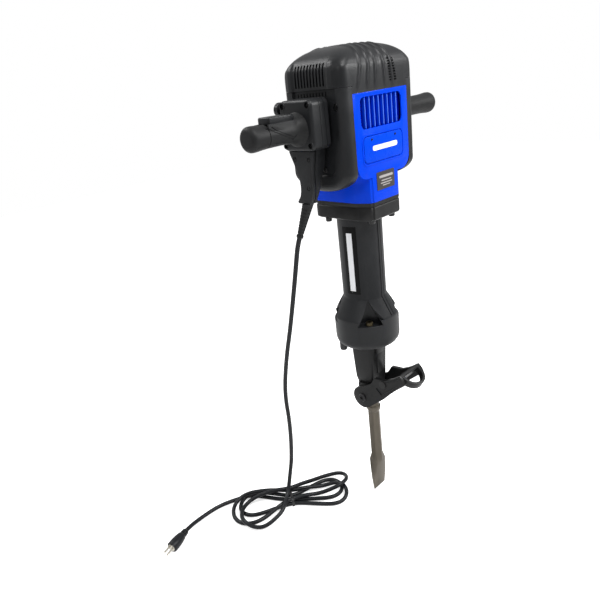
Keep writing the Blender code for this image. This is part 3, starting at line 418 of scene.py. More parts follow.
def soften(made, width, segments=2, angle=35.0):
    """Round the sharp edges, without hardened normals."""
    modifier = made.modifiers.new("bevel", "BEVEL")
    modifier.width = width
    modifier.segments = segments
    modifier.limit_method = "ANGLE"
    modifier.angle_limit = math.radians(angle)
    modifier.use_clamp_overlap = True
    modifier.harden_normals = False
    applied(made)


def piece(name, data, finish, body="housing", replaces=None, smooth_angle=40.0):
    """A visible piece riding on a body; it replaces the CAD node that bears its name."""
    made = bpy.data.objects.new(name, data)
    bpy.context.scene.collection.objects.link(made)
    made["finish"] = finish
    made["smooth_angle"] = smooth_angle
    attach(made, body)
    for node in replaces or [name] * (name in frame["nodes"]):
        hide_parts(node)
    return made


def settle_finishes():
    """Shade and paint every piece once its shape is final."""
    for made in bpy.data.objects:
        if "finish" not in made:
            continue
        made.data.materials.clear()
        made.data.materials.append(FINISH[made["finish"]])
        if made.type == "MESH":
            made.data.shade_smooth()
            made.data.set_sharp_from_angle(angle=math.radians(made["smooth_angle"]))
    slots = {part["node"]: part["material_slot"] for part in frame["record"]["subparts"]}
    for node, made in frame["nodes"].items():
        made.data.materials.clear()
        made.data.materials.append(FINISH[slots[node]])


def ease(value):
    """Smooth step from 0 to 1."""
    value = min(1.0, max(0.0, value))
    return value * value * (3.0 - 2.0 * value)


def catmull(points, per_span):
    """Smooth samples through vectors of any size."""
    padded = [2 * points[0] - points[1]] + points + [2 * points[-1] - points[-2]]
    samples = []
    for a, b, c, d in zip(padded, padded[1:], padded[2:], padded[3:]):
        for step in range(per_span):
            t = step / per_span
            samples.append(0.5 * ((2 * b) + (c - a) * t + (2 * a - 5 * b + 4 * c - d) * t * t
                                  + (3 * b - a - 3 * c + d) * t ** 3))
    samples.append(points[-1])
    return samples


def even(points, spacing):
    """Resample a polyline at an even spacing."""
    walked = [0.0]
    for p, q in zip(points, points[1:]):
        walked.append(walked[-1] + (q - p).length)
    count = max(2, round(walked[-1] / spacing))
    made = []
    index = 0
    for i in range(count + 1):
        goal = walked[-1] * i / count
        while index < len(walked) - 2 and walked[index + 1] < goal:
            index += 1
        share = (goal - walked[index]) / max(1e-9, walked[index + 1] - walked[index])
        made.append(points[index].lerp(points[index + 1], share))
    return made


# ---------------------------------------------------------------- head: top cover
COVER_SECTIONS = [  # height, half width, half depth, corner radius
    (0.0545, 0.118, 0.083, 0.022), (0.099, 0.1172, 0.0828, 0.022), (0.113, 0.1135, 0.08, 0.024),
    (0.124, 0.106, 0.0745, 0.026), (0.133, 0.094, 0.066, 0.028), (0.14, 0.079, 0.055, 0.028),
    (0.145, 0.06, 0.04, 0.026), (0.148, 0.036, 0.022, 0.015),
]
COVER_RIBS = (-0.0726, -0.0424, -0.0161, 0.0147, 0.0427)
RIB_FOOT_Z = 0.068
RIB_CLIMB = 0.08                         # height over which the ribs lean to the middle
RIB_LEAN = 0.32
SLOT_LEAN = 0.3
RIB_RISE = 0.0024
RIB_SPREAD = 0.0028
PILLAR_RISE = 0.0024
COLUMN_RISE = 0.0016
LOUVRE_YS = [-0.035 + 0.0085 * i for i in range(10)]
SLOT_COLUMNS = ((0.035, 0.003), (0.052, 0.0048))     # middle and half length of the front slots


def dense_ring(half_x, half_y, radius, z):
    """Rounded rectangle with close points along its straight sides as well."""
    ring = []
    corners = [(1, 1, 0), (-1, 1, 90), (-1, -1, 180), (1, -1, 270)]
    for number, (sign_x, sign_y, start) in enumerate(corners):
        at = (sign_x * (half_x - radius), sign_y * (half_y - radius))
        ring += arc(at, radius, start, start + 90, 10)
        along_x = number in (0, 2)
        count = 120 if along_x else 56
        following = corners[(number + 1) % 4]
        goal = (following[0] * (half_x - radius), following[1] * (half_y - radius))
        first = ring[-1]
        last = (goal[0], first[1]) if along_x else (first[0], goal[1])
        for i in range(1, count):
            share = i / count
            ring.append((first[0] + (last[0] - first[0]) * share,
                         first[1] + (last[1] - first[1]) * share))
    return [Vector((x, y, z)) for x, y in ring]


def window(value, low, high, soft):
    """1 between low and high, easing to 0 over `soft` outside."""
    return ease((value - low) / soft + 1.0) * ease((high - value) / soft + 1.0)


def cover_relief(x, y, z):
    """How far the ribs on the front and back and the pillars at the sides stand proud."""
    climb = (z - RIB_FOOT_Z) / RIB_CLIMB
    fade = ease((z - 0.062) / 0.01) * ease((abs(y) - 0.022) / 0.012)
    ribs = 0.0
    for foot in COVER_RIBS:
        offset = (x - foot * (1.0 - RIB_LEAN * climb)) / RIB_SPREAD
        ribs += math.exp(-0.5 * offset * offset)
    side = ease((abs(x) - 0.098) / 0.01)
    pillar = window(y, -0.06, -0.0475, 0.0045) + window(y, 0.053, 0.062, 0.0045)
    pillar *= ease((0.126 - z) / 0.012) * side
    corner = math.hypot(abs(x) - 0.111, abs(y) - 0.076) / 0.011
    column = math.exp(-corner * corner) * ease((0.132 - z) / 0.02)
    return RIB_RISE * ribs * fade * (1.0 - side) + PILLAR_RISE * pillar + COLUMN_RISE * column


def cover_levels():
    """The cover's sections, smoothed."""
    sections = catmull([Vector((z, half_x, half_y)) for z, half_x, half_y, _ in COVER_SECTIONS], 8)
    radii = catmull([Vector((radius, 0.0)) for _, _, _, radius in COVER_SECTIONS], 8)
    return [(section.x, section.y, section.z, radius.x) for section, radius in zip(sections, radii)]


def head_top_cover():
    """Domed cover with its ribs, side pillars, louvres and the small holes in its front."""
    outer = [dense_ring(half_x, half_y, radius, z) for z, half_x, half_y, radius in cover_levels()]
    shaped = []
    for j, ring in enumerate(outer):
        below, above = outer[max(0, j - 1)], outer[min(len(outer) - 1, j + 1)]
        moved = []
        for i, spot in enumerate(ring):
            around = ring[(i + 1) % len(ring)] - ring[i - 1]
            normal = around.cross(above[i] - below[i]).normalized()
            moved.append(spot + normal * cover_relief(*spot))
        shaped.append(moved)
    inner = []
    for z, half_x, half_y, _ in COVER_SECTIONS:
        lowered = z - (WALL if z > 0.06 else 0.0)
        inner.append(dense_ring(half_x - WALL, half_y - WALL, 0.012, lowered))
    bm = bmesh.new()
    outer_rows = [[bm.verts.new(p) for p in ring] for ring in shaped]
    inner_rows = [[bm.verts.new(p) for p in ring] for ring in inner]
    bm.faces.new(outer_rows[-1])
    bm.faces.new(inner_rows[-1])
    rows = list(zip(outer_rows, outer_rows[1:])) + list(zip(inner_rows, inner_rows[1:]))
    rows.append((outer_rows[0], inner_rows[0]))
    for low, high in rows:
        skin(bm, low, high)
    made = piece("top_cover", finish_mesh("top_cover", bm), "black_plastic", smooth_angle=32.0)
    cuts = []
    for side in (-1, 1):
        x_low, x_high = span(side, PANEL_X, 0.2)
        cuts.append(box((x_low, -0.1, 0.0), (x_high, 0.1, COVER_SEAM_Z)))
        for y in LOUVRE_YS:
            louvre = rounded(0.0021, 0.0215, 0.002, (y, 0.0955), 3)
            cuts.append(prism(louvre, "x", *span(side, 0.1085, 0.13)))
    for column, half in SLOT_COLUMNS:
        for i in range(9):
            z = 0.07 + 0.0052 * i
            x = column * (1.0 - SLOT_LEAN * (z - RIB_FOOT_Z) / RIB_CLIMB)
            cuts.append(prism(rounded(half, 0.0016, 0.0008, (x, z), 2), "y", -0.1, -0.079))
    carve(made, cuts)
    carve(made, prism(circle(0.0042, 20, (0.03, -0.03)), "z", 0.1425, 0.16))
    # near-black sheets just behind the louvres and the front slots: painted shade inside the vents
    shade_sheets = [box((-0.109, -0.045, 0.072), (-0.1075, 0.055, 0.115)),
               box((0.1075, -0.045, 0.072), (0.109, 0.055, 0.115)),
               box((0.022, -0.077, 0.064), (0.064, -0.0755, 0.114))]
    piece("vent_baffles", merged(shade_sheets), "label_and_shade_black")


# ---------------------------------------------------------------- head: side covers
ARCH_Z = -0.098
ARCH_DROP = 0.04
RIM_X = 0.1                              # where the rounded rim of a side cover begins
RIM_R = 0.018
FIELD_X = 0.1128                         # floor of the sunk field
TOP_SCREW = (-0.06, 0.033)
LOW_SCREW = (-0.014, -0.09)


def arch_ring(x, inset, lowered=0.0):
    """One section of a side cover: straight top, arched bottom."""
    half = -FRONT_Y - inset
    top = COVER_SEAM_Z - 0.0006 - lowered
    points = [(half, top), (half, -0.02), (half, ARCH_Z + 0.02)]
    points += [(half * math.cos(a), ARCH_Z - (ARCH_DROP - inset) * math.sin(a))
               for a in [math.pi * i / 44 for i in range(45)]]
    points += [(-half, ARCH_Z + 0.02), (-half, -0.02), (-half, top)]
    return [(x, y, z) for y, z in points]


def recess_outline(grow):
    """Sunk field of a side cover, with the slanted step low at its front."""
    right = 0.052 + grow
    front = -0.06 - grow
    low = -0.1 - grow
    return ([(right, 0.08), (front, 0.08), (front, -0.026), (front + 0.015, -0.06)]
            + arc((front + 0.031, low + 0.014), 0.014, 180, 270, 6)
            + arc((right - 0.02, low + 0.02), 0.02, 270, 360, 6))


def head_side_cover(side, name):
    """Moulded side cover: rounded rim, sunk field, screws and a row of small louvres."""
    steps = 9
    outer = [(PANEL_X + PIN_GAP, 0.0), (RIM_X, 0.0)]
    for i in range(steps + 1):
        angle = math.radians(90.0 * i / steps)
        outer.append((RIM_X + RIM_R * math.sin(angle), RIM_R * (1.0 - math.cos(angle))))
    inner = [(0.109, 0.02), (0.104, 0.006), (0.1, WALL), (PANEL_X + PIN_GAP, WALL)]
    rings = [arch_ring(side * x, inset) for x, inset in outer]
    rings += [arch_ring(side * x, inset, WALL) for x, inset in inner]
    bm = bmesh.new()
    levels = [[bm.verts.new(point) for point in ring] for ring in rings]
    split = len(outer) - 1
    bm.faces.new(levels[split])
    bm.faces.new(levels[split + 1])
    pairs = [(levels[i], levels[i + 1]) for i in range(len(levels) - 1) if i != split]
    for low, high in pairs + [(levels[-1], levels[0])]:
        skin(bm, low, high)
    made = piece(name, finish_mesh(name, bm), "black_plastic", smooth_angle=35.0)
    floor = [(side * FIELD_X, y, z) for y, z in recess_outline(0.0)]
    mouth = [(side * 0.119, y, z) for y, z in recess_outline(0.0045)]
    carve(made, lofted("recess", [floor, mouth]))
    cuts = [prism(circle(0.0085, 28, TOP_SCREW), "x", *span(side, 0.11, 0.13))]
    for y in LOUVRE_YS:
        cuts.append(prism(rounded(0.0021, 0.005, 0.002, (y, 0.059), 2), "x",
                          *span(side, 0.1112, 0.13)))
    carve(made, cuts)
    screw_cap(f"{name}_screw_low", (side * FIELD_X, *LOW_SCREW), 0.0052, side)
    screw_cap(f"{name}_screw_top", (side * 0.1102, *TOP_SCREW), 0.0062, side)


def screw_cap(name, spot, radius, side, body="housing", axis="x"):
    """Domed cross-head screw whose head faces along an axis."""
    x, y, z = spot
    centre = {"x": (y, z), "y": (x, z), "z": (x, y)}[axis]
    along = {"x": x, "y": y, "z": z}[axis]
    profile = [(radius * share, along + side * rise) for share, rise in
               ((1.0, -0.001), (1.0, 0.0009), (0.86, 0.0017), (0.55, 0.0022))]
    made = piece(name, turned(profile, axis, centre, 24), "bolt_black", body=body)
    long, short = radius * 0.62, radius * 0.13
    for half_u, half_v in ((long, short), (short, long)):
        outline = rounded(half_u, half_v, min(half_u, half_v) * 0.5, centre, 1)
        carve(made, prism(outline, axis, *sorted((along + side * 0.0008, along + side * 0.004))))


# ---------------------------------------------------------------- head: coloured housing
CASE_HALF = 0.063                        # half width of the gearcase and its flange
SHOULDER_Z = -0.133
FLANGE_BOLTS = ((-0.036, -0.067), (0.036, -0.067), (-0.0545, 0.045), (0.0545, 0.045))
GRILLE_Z = 0.0145
GRILLE_HALF = (0.069, 0.0312)
BADGE_Z = -0.059
BAR_XS = [-0.0525 + 0.015 * i for i in range(8)]
BAR_HALF = 0.0017
REAR_SCREWS = [(x, z) for x in (-0.074, 0.074) for z in (0.04, -0.03, -0.078)]
LABEL_LINES = ((0.0235, 0.0026, -0.1205), (0.017, 0.0012, -0.129),    # half width, half height, z
               (0.02, 0.0012, -0.1345), (0.013, 0.001, -0.1395))


def panel_outline(inset=0.0, top=0.0542):
    """Front view of the upper housing with rounded lower corners."""
    half = PANEL_X - inset
    right = [(half, top), (half, 0.0), (half, -0.084)]
    right += [(u, v) for u, v in reversed(arc((half - 0.03, -0.0872 + inset), 0.0298, 270, 360, 8))]
    right.append((0.05, -0.117 + inset))
    return mirrored(right)


def lower_outline(half, inset=0.0):
    """Plan of the gearcase: flat front plate, fluted slanted corners, rounded rear."""
    front = FRONT_Y + inset
    rear = -FRONT_Y - inset
    plate = 0.043
    slant = [(plate, front), (plate + 0.0022, front + 0.0026), (plate + 0.007, front + 0.0034),
             (plate + 0.0096, front + 0.008)]
    right = slant + [(half - 0.003, -0.054), (half, -0.046), (half, 0.06)]
    right += [(half - 0.02 + u, rear - 0.02 + v) for u, v in arc((0.0, 0.0), 0.02, 0, 90, 6)]
    return mirrored(right)


def housing_lower():
    """Gearcase with the concave shoulder that leads out to the upper housing."""
    levels = [(-0.171, CASE_HALF), (SHOULDER_Z, CASE_HALF)]
    for i in range(1, 8):
        angle = math.radians(90.0 * i / 7)
        levels.append((SHOULDER_Z + 0.023 * math.sin(angle),
                       CASE_HALF + 0.02 * (1.0 - math.cos(angle))))
    rings = [[(x, y, z) for x, y in lower_outline(half)] for z, half in levels]
    return lofted("lower", rings)


def head_housing():
    """Glossy housing with its grille opening, plate recess and raised plate frame."""
    rear = -FRONT_Y
    made = piece("motor_housing", prism(panel_outline(), "y", FRONT_Y, rear), "blue_shell",
                 smooth_angle=30.0)
    carve(made, housing_lower(), "UNION")
    frame_outer = rounded(0.0708, 0.0318, 0.0125, (0.0, BADGE_Z), 7)
    carve(made, prism(frame_outer, "y", FRONT_Y - 0.0009, FRONT_Y + 0.004), "UNION")
    carve(made, prism(panel_outline(WALL, 0.2), "y", FRONT_Y + WALL, rear - WALL))
    carve(made, box((-0.2, -0.07, -0.092), (0.2, 0.07, 0.2)))
    recess = rounded(0.0672, 0.0282, 0.0105, (0.0, BADGE_Z), 7)
    carve(made, prism(recess, "y", FRONT_Y - 0.01, FRONT_Y + 0.0013))
    opening = rounded(*GRILLE_HALF, 0.012, (0.0, GRILLE_Z), 7)
    carve(made, prism(opening, "y", FRONT_Y - 0.01, FRONT_Y + 0.02))
    vents = [rounded(0.046, 0.0017, 0.0015, (0.0, 0.034 - 0.0095 * i), 3) for i in range(7)]
    carve(made, [prism(vent, "y", rear - 0.0015, rear + 0.01) for vent in vents])
    carve(made, [prism(circle(0.0066, 24, spot), "y", rear - 0.0018, rear + 0.01)
                 for spot in REAR_SCREWS])
    soften(made, 0.0007, 2, 40.0)
    for number, (x, z) in enumerate(REAR_SCREWS, 1):
        screw_cap(f"rear_screw_{number}", (x, rear - 0.0024, z), 0.0048, 1, axis="y")


def grille():
    """Plate behind the opening with its rows of slots, coloured darker blue as painted shade of the
    recess, and the upright bars with painted highlight strips on their left edges.
    """
    floor = FRONT_Y + 0.0082
    backing = rounded(GRILLE_HALF[0] + 0.004, GRILLE_HALF[1] + 0.004, 0.014, (0.0, GRILLE_Z), 7)
    # the backing plate is coloured darker blue as painted shade in the recess
    plate = piece("grille_backing", prism(backing, "y", floor, FRONT_Y + 0.0096), "blue_painted_shade")
    slots = [rounded(0.004, 0.001, 0.0008, (-0.06 + 0.015 * i, GRILLE_Z - 0.02 + 0.008 * j), 1)
             for i in range(9) for j in range(6)]
    carve(plate, [prism(slot, "y", FRONT_Y + 0.005, FRONT_Y + 0.02) for slot in slots])
    bars = []
    highlight_strips = []
    top = GRILLE_HALF[1] + 0.0006
    for x in BAR_XS:
        section = [(x - BAR_HALF, floor), (x - BAR_HALF, FRONT_Y + 0.0016),
                   (x - 0.001, FRONT_Y + 0.0008), (x + 0.001, FRONT_Y + 0.0008),
                   (x + BAR_HALF, FRONT_Y + 0.0016), (x + BAR_HALF, floor)]
        bars.append(prism(section, "z", GRILLE_Z - top, GRILLE_Z + top))
        # a lighter blue strip on each bar's left edge: a painted highlight
        highlight_strips.append(box((x - BAR_HALF, FRONT_Y + 0.0004, GRILLE_Z - 0.0285),
                        (x - 0.0005, FRONT_Y + 0.0018, GRILLE_Z + 0.0285)))
    piece("grille_ribs", merged(bars), "blue_shell", smooth_angle=50.0)
    piece("grille_rib_lips", merged(highlight_strips), "blue_painted_highlight")


def plate_on_front(outline, behind, proud):
    """Thin plate on the front face, from `behind` to `proud` of it, both measured outwards."""
    return prism(outline, "y", FRONT_Y - proud, FRONT_Y - behind)


def front_plates():
    """Blank raised plate with a plain bar and two screws, and the nameplate with plain lines."""
    badge = rounded(0.0655, 0.0265, 0.01, (0.0, BADGE_Z), 8)
    made = piece("front_badge", plate_on_front(badge, -0.0009, 0.0012), "blue_badge")
    soften(made, 0.0008, 3)
    bar = rounded(0.0425, 0.0052, 0.0046, (0.004, BADGE_Z + 0.001), 5)
    piece("badge_bar", plate_on_front(bar, 0.0011, 0.0015), "print_white")
    for number, x in enumerate((-0.04, 0.04), 1):
        screw_cap(f"badge_screw_{number}", (x, FRONT_Y - 0.0012, BADGE_Z + 0.02), 0.0021, -1,
                  axis="y")
    label = rounded(0.031, 0.01925, 0.002, (0.0, -0.12875), 3)
    made = piece("rating_plate", plate_on_front(label, 0.0003, 0.0011), "label_grey")
    soften(made, 0.0003, 1)
    lines = [rounded(half, height, height * 0.8, (0.001, z), 3) for half, height, z in LABEL_LINES]
    piece("rating_bars", merged([plate_on_front(line, 0.001, 0.0013) for line in lines]),
          "print_grey")


def foot_flange():
    """Cast foot under the head with a chamfered lower edge, and its four cap screws."""
    levels = [(FLANGE_LOW.z, 0.003), (FLANGE_LOW.z + 0.0026, 0.0), (-0.183, 0.0), (-0.1813, 0.0012),
              (-0.179, 0.0012), (-0.1773, 0.0), (FLANGE_HIGH.z, 0.0)]
    rings = [[(x, y, z) for x, y in lower_outline(CASE_HALF - inset, inset)] for z, inset in levels]
    made = piece("flange_ring", lofted("flange", rings), "cast_black", smooth_angle=35.0)
    carve(made, prism(circle(0.0363, 48), "z", -0.25, -0.15))
    top = FLANGE_LOW.z - PIN_GAP
    profile = [(0.0072, top), (0.0072, top - 0.0076), (0.0062, top - 0.0092), (0.004, top - 0.0098)]
    for number, spot in enumerate(FLANGE_BOLTS, 1):
        bolt = piece(f"flange_bolt_{number}", turned(profile, "z", spot, 28), "bolt_black")
        carve(bolt, prism(circle(0.0034, 6, spot), "z", top - 0.02, top - 0.005))


# ---------------------------------------------------------------- switch box and handles
BOX_SPLIT_X = -0.145
BOX_INNER_X = -0.1185
BOX_OUTER_X = BOX_LOW.x
BOX_HALF_Y = 0.045
BOX_MID_Z = 0.007
BOX_HALF_Z = 0.049
BOX_SCREWS = [(y, z) for y in (-0.0345, 0.0345) for z in (-0.031, 0.0455)]
BUTTON_AT = (-0.156, 0.039)
BUTTON_R = 0.0145


def pillow(inset):
    """Side view of the switch box."""
    corner = 0.0125 - inset * 0.6
    return rounded(BOX_HALF_Y - inset, BOX_HALF_Z - inset, corner, (0.0, BOX_MID_Z), 7)


def box_half(name, levels):
    """Rounded half shell of the switch box, from (x, inset) pairs."""
    rings = [[(x, y, z) for y, z in pillow(inset)] for x, inset in levels]
    return piece(name, lofted(name, rings), "black_plastic", smooth_angle=38.0)


def switch_box():
    """Two mating halves with a raised lip, and corner screws in bosses."""
    base = box_half("switch_box_base", [(BOX_SPLIT_X + PIN_GAP, 0.0), (-0.1325, 0.0),
                                        (-0.1322, 0.0009), (-0.1312, 0.0009), (-0.1309, 0.0),
                                        (-0.1215, 0.0), (BOX_INNER_X, 0.003)])
    hollow = rounded(BOX_HALF_Y - WALL, BOX_HALF_Z - WALL, 0.0085, (0.0, BOX_MID_Z), 4)
    carve(base, prism(hollow, "x", -0.16, BOX_INNER_X - WALL))
    levels = [(BOX_SPLIT_X, 0.0006), (BOX_SPLIT_X - 0.0006, 0.0)]
    for i in range(7):
        angle = math.radians(15.0 * i)
        levels.append((BOX_OUTER_X + 0.006 - 0.006 * math.sin(angle),
                       0.006 * (1.0 - math.cos(angle))))
    cover = box_half("switch_box_cover", levels)
    carve(cover, prism(hollow, "x", BOX_OUTER_X + WALL, -0.13))
    boss = [(0.0088, BOX_OUTER_X + 0.012), (0.0082, BOX_OUTER_X + 0.001),
            (0.0074, BOX_OUTER_X - 0.0006)]
    for spot in BOX_SCREWS:
        carve(cover, turned(boss, "x", spot, 28), "UNION")
    carve(cover, [prism(circle(0.0057, 20, spot), "x", BOX_OUTER_X - 0.01, BOX_OUTER_X + 0.0054)
                  for spot in BOX_SCREWS])
    carve(cover, prism(circle(0.0056, 20, BUTTON_AT), "y", 0.03, 0.06))
    for number, (y, z) in enumerate(BOX_SCREWS, 1):
        screw_cap(f"box_screw_{number}", (BOX_OUTER_X + 0.0046, y, z), 0.0042, -1)


def lock_button():
    """Button on the rear of the switch box, with a knurled edge."""
    profile = [(0.005, 0.034), (0.005, 0.0495), (0.0128, 0.0496), (0.0143, 0.0506),
               (BUTTON_R, 0.053),
               (BUTTON_R, 0.059), (0.0138, 0.0606), (0.0118, 0.0617), (0.006, 0.062)]
    made = piece("lock_button", turned(profile, "y", BUTTON_AT, 40), "black_plastic",
                 body="lock_button")
    notches = circle(BUTTON_R, 18, BUTTON_AT)
    carve(made, [prism(circle(0.0008, 8, spot), "y", 0.0535, 0.0585) for spot in notches])


def tail_section(inset=0.0):
    """Side view of the cord housing: wide top, waist, and a foot that leans to the rear."""
    top = BOX_LOW.z - PIN_GAP
    rear = [(0.04, top), (0.037, -0.051), (0.032, -0.062), (0.0268, -0.074), (0.021, -0.088),
            (0.0172, -0.103), (0.0162, -0.115), (0.0172, -0.126), (0.0205, -0.137),
            (0.0262, -0.144), (0.029, -0.148), (0.0285, -0.1515), (0.026, -0.1525)]
    front = [(-0.008, -0.1525), (-0.01, -0.1505), (-0.0122, -0.145), (-0.016, -0.136),
             (-0.0184, -0.122),
             (-0.019, -0.107), (-0.02, -0.092), (-0.0222, -0.076), (-0.0262, -0.06), (-0.029, top)]
    middle = 0.006
    shrunk = []
    for y, z in rear + front:
        low = inset * 0.7 if z < -0.14 else 0.0
        shrunk.append((y - math.copysign(inset, y - middle), z + low))
    return shrunk


TAIL_OUTER_X = -0.162
TAIL_SPLIT_X = -0.15
TAIL_GAP = 0.00015                       # half the gap between the two halves
TAIL_SCREWS = ((-0.017, -0.06), (0.023, -0.059), (-0.008, -0.119))


def tail_half(name, low, high):
    """Half of the cord housing between two X planes."""
    return piece(name, prism(tail_section(), "x", low, high), "black_plastic")


def cord_housing():
    """Two halves below the switch box, screwed together, slanted towards the head."""
    outer = tail_half("cord_housing_outer", TAIL_OUTER_X, TAIL_SPLIT_X - TAIL_GAP)
    soften(outer, 0.003, 4, 60.0)
    carve(outer, prism(tail_section(WALL), "x", TAIL_OUTER_X + WALL, TAIL_SPLIT_X + 0.01))
    wells = [prism(circle(0.0047, 18, spot), "x", TAIL_OUTER_X - 0.01, TAIL_OUTER_X + 0.0024)
             for spot in TAIL_SCREWS]
    carve(outer, wells)
    inner = tail_half("cord_housing_inner", TAIL_SPLIT_X + TAIL_GAP, -0.122)
    slope = [(-0.1225, -0.078), (-0.133, -0.108), (-0.138, -0.124), (-0.143, -0.14),
             (-0.143, -0.17), (-0.1, -0.17), (-0.1, -0.078)]
    carve(inner, prism(slope, "y", -0.05, 0.05))
    soften(inner, 0.003, 4, 60.0)
    carve(inner, prism(tail_section(WALL), "x", TAIL_SPLIT_X - 0.01, -0.147))
    for number, (y, z) in enumerate(TAIL_SCREWS, 1):
        screw_cap(f"tail_screw_{number}", (TAIL_OUTER_X + 0.0016, y, z), 0.0034, -1)


GRIP_END_X = 0.302
GRIP_EDGE_R = 0.0105
LONGER_GRIP_FROM = 0.165                 # only the switch side's grip has the ring groove
CORE_R = 0.012
SEAT_OUTER_X = -0.258                    # the trigger's seat in the switch side's grip
SEAT_INNER_X = -0.188
SEAT_HALF = 0.0168
BRACKET_HALF = 0.042
BRACKET_FACE_X = 0.16
BRACKET_SCREWS = [(y, z) for y in (-0.0315, 0.0315) for z in (-0.0315, 0.0315)]
GRIP_GROOVES = [  # start, end, radius, all on the front of the switch side's grip
    ((-0.266, 0.016), (-0.201, -0.013), 0.0226), ((-0.256, 0.016), (-0.201, -0.0085), 0.0226),
    ((-0.201, -0.013), (-0.193, -0.006), 0.0232),
]


def grip_profile(inner_x):
    """Collar fillet, waist and bulb of a rubber grip, as (radius, x) pairs."""
    profile = [(radius, inner_x + along) for radius, along in
               ((0.034, 0.0), (0.0322, 0.003), (0.029, 0.0075), (0.0262, 0.013), (0.0245, 0.019),
                (0.0232, 0.028), (0.0224, 0.042), (0.0222, 0.056))]
    bulb = [(0.0224, 0.047)]
    if inner_x > LONGER_GRIP_FROM:
        bulb += [(0.0224, 0.0438), (0.0212, 0.0432), (0.0212, 0.042), (0.0226, 0.0412)]
    bulb += [(0.0232, 0.03), (0.024, 0.021), (0.0243, 0.014)]
    profile += [(radius, GRIP_END_X - back) for radius, back in bulb]
    for i in range(1, 8):
        angle = math.radians(90.0 * i / 7)
        profile.append((0.0243 - GRIP_EDGE_R * (1.0 - math.cos(angle)),
                        GRIP_END_X - GRIP_EDGE_R + GRIP_EDGE_R * math.sin(angle)))
    return profile + [(0.006, GRIP_END_X)]


def rubber_grip(name, side, inner_x):
    """Rubber grip over the handle's core."""
    profile = [(radius, side * x) for radius, x in grip_profile(inner_x)]
    made = piece(name, turned(profile, "x", steps=64), "rubber", smooth_angle=50.0)
    carve(made, prism(circle(CORE_R + PIN_GAP, 28), "x",
                      *span(side, inner_x - 0.01, GRIP_END_X - 0.01)))
    return made


def groove(start, end, radius, width, depth, steps=24):
    """Thin bar laid on a grip's surface in a straight slanted line, to be cut away."""
    along = Vector((end[0] - start[0], 0.0, end[1] - start[1])).normalized()
    section = ((-width, 0.004), (width, 0.004), (width * 0.6, -depth), (-width * 0.6, -depth))
    rings = []
    for i in range(steps + 1):
        share = i / steps
        x = start[0] + (end[0] - start[0]) * share
        z = start[1] + (end[1] - start[1]) * share
        y = -math.sqrt(max(1e-6, radius * radius - z * z))
        spot = Vector((x, y, z))
        out = Vector((0.0, y, z)).normalized()
        across = along.cross(out).normalized()
        rings.append([spot + across * a + out * b for a, b in section])
    return lofted("groove", rings)


def left_handle():
    """Switch-side grip with its slanted grooves and the trigger paddle in its seat."""
    made = rubber_grip("grip_left", -1, -BOX_OUTER_X + PIN_GAP)
    carve(made, box((SEAT_OUTER_X, -SEAT_HALF, 0.015), (SEAT_INNER_X, SEAT_HALF, 0.05)))
    for face in (-1, 1):
        near, far = span(face, 0.0171, 0.0205)
        carve(made, box((-0.26, near, 0.002), (SEAT_INNER_X, far, 0.0222)), "UNION")
    for start, end, radius in GRIP_GROOVES:
        carve(made, groove(start, end, radius, 0.001, 0.0015))
    side = [(-0.189, 0.019), (-0.189, 0.03)] + arc((-0.1925, 0.0295), 0.0035, 0, 75, 4)[1:]
    side += [(-0.2, 0.0335), (-0.22, 0.0342), (-0.248, 0.0345)]
    side += arc((-0.2505, 0.0315), 0.003, 90, 180, 5)
    side += [(-0.254, 0.0205)]
    paddle = piece("trigger", prism(side, "y", -0.0165, 0.0165), "black_plastic", body="trigger")
    soften(paddle, 0.0018, 3, 30.0)


def right_handle():
    """Plain bracket with corner screws, and its grip."""
    levels = [(-BOX_INNER_X, 0.0025), (-BOX_INNER_X + 0.003, 0.0), (0.133, 0.0), (0.1334, 0.0009),
              (0.1344, 0.0009), (0.1348, 0.0), (0.154, 0.0), (0.1582, 0.0018),
              (BRACKET_FACE_X, 0.006)]
    rings = []
    for x, inset in levels:
        half = BRACKET_HALF - inset
        corner = 0.0125 - inset * 0.5
        rings.append([(x, y, z) for y, z in rounded(half, half, corner, steps=7)])
    made = piece("handle_bracket_right", lofted("bracket", rings), "black_plastic",
                 smooth_angle=38.0)
    carve(made, prism(rounded(BRACKET_HALF - WALL, BRACKET_HALF - WALL, 0.0085), "x", 0.115, 0.157))
    carve(made, prism(circle(CORE_R + PIN_GAP, 28), "x", 0.15, 0.17))
    boss = [(0.0082, 0.15), (0.0078, 0.1592), (0.007, 0.1606)]
    for number, (y, z) in enumerate(BRACKET_SCREWS, 1):
        carve(made, turned(boss, "x", (y, z), 28), "UNION")
        screw_cap(f"bracket_screw_{number}", (0.1606, y, z), 0.0042, 1)
    rubber_grip("grip_right", 1, BRACKET_FACE_X + PIN_GAP)


# ---------------------------------------------------------------- barrel and nose
BARREL_R = 0.0525
BARREL_BORE_R = 0.046
BELL_R = 0.0795
FLARE_TOP_Z = -0.411
BELL_TOP_Z = -0.458
POCKET_TOP_Z = -0.406
POCKET_FLOOR_Z = -0.47
BOLT_CIRCLE_R = 0.064
POCKET_HALF = 0.0265
POCKET_ANGLES = [math.radians(45.0 + 90.0 * i) for i in range(4)]
NOSE_BORE_R = 0.0405                     # bore of the bell around the nose
HEAD_BOLT_R = 0.009


def half_turned(profile, side, steps=30):
    """Closed (radius, z) loop turned through the half circle on one side of the X = 0 plane."""
    rings = []
    for i in range(steps + 1):
        angle = math.radians(90.0) + side * math.pi * i / steps
        ring = []
        for radius, z in profile:
            x = 0.0 if i in (0, steps) else radius * math.cos(angle)
            ring.append((x - side * 0.00015, radius * math.sin(angle), z))
        rings.append(ring)
    return lofted("half", rings)


def turned_about_z(data, angle):
    """A mesh turned about the barrel's axis."""
    data.transform(Matrix.Rotation(angle, 4, "Z"))
    return data


def seam_side(angle):
    """1 or -1: the side of a pocket on which the parting line lies."""
    return 1 if math.cos(angle) * math.sin(angle) > 0.0 else -1


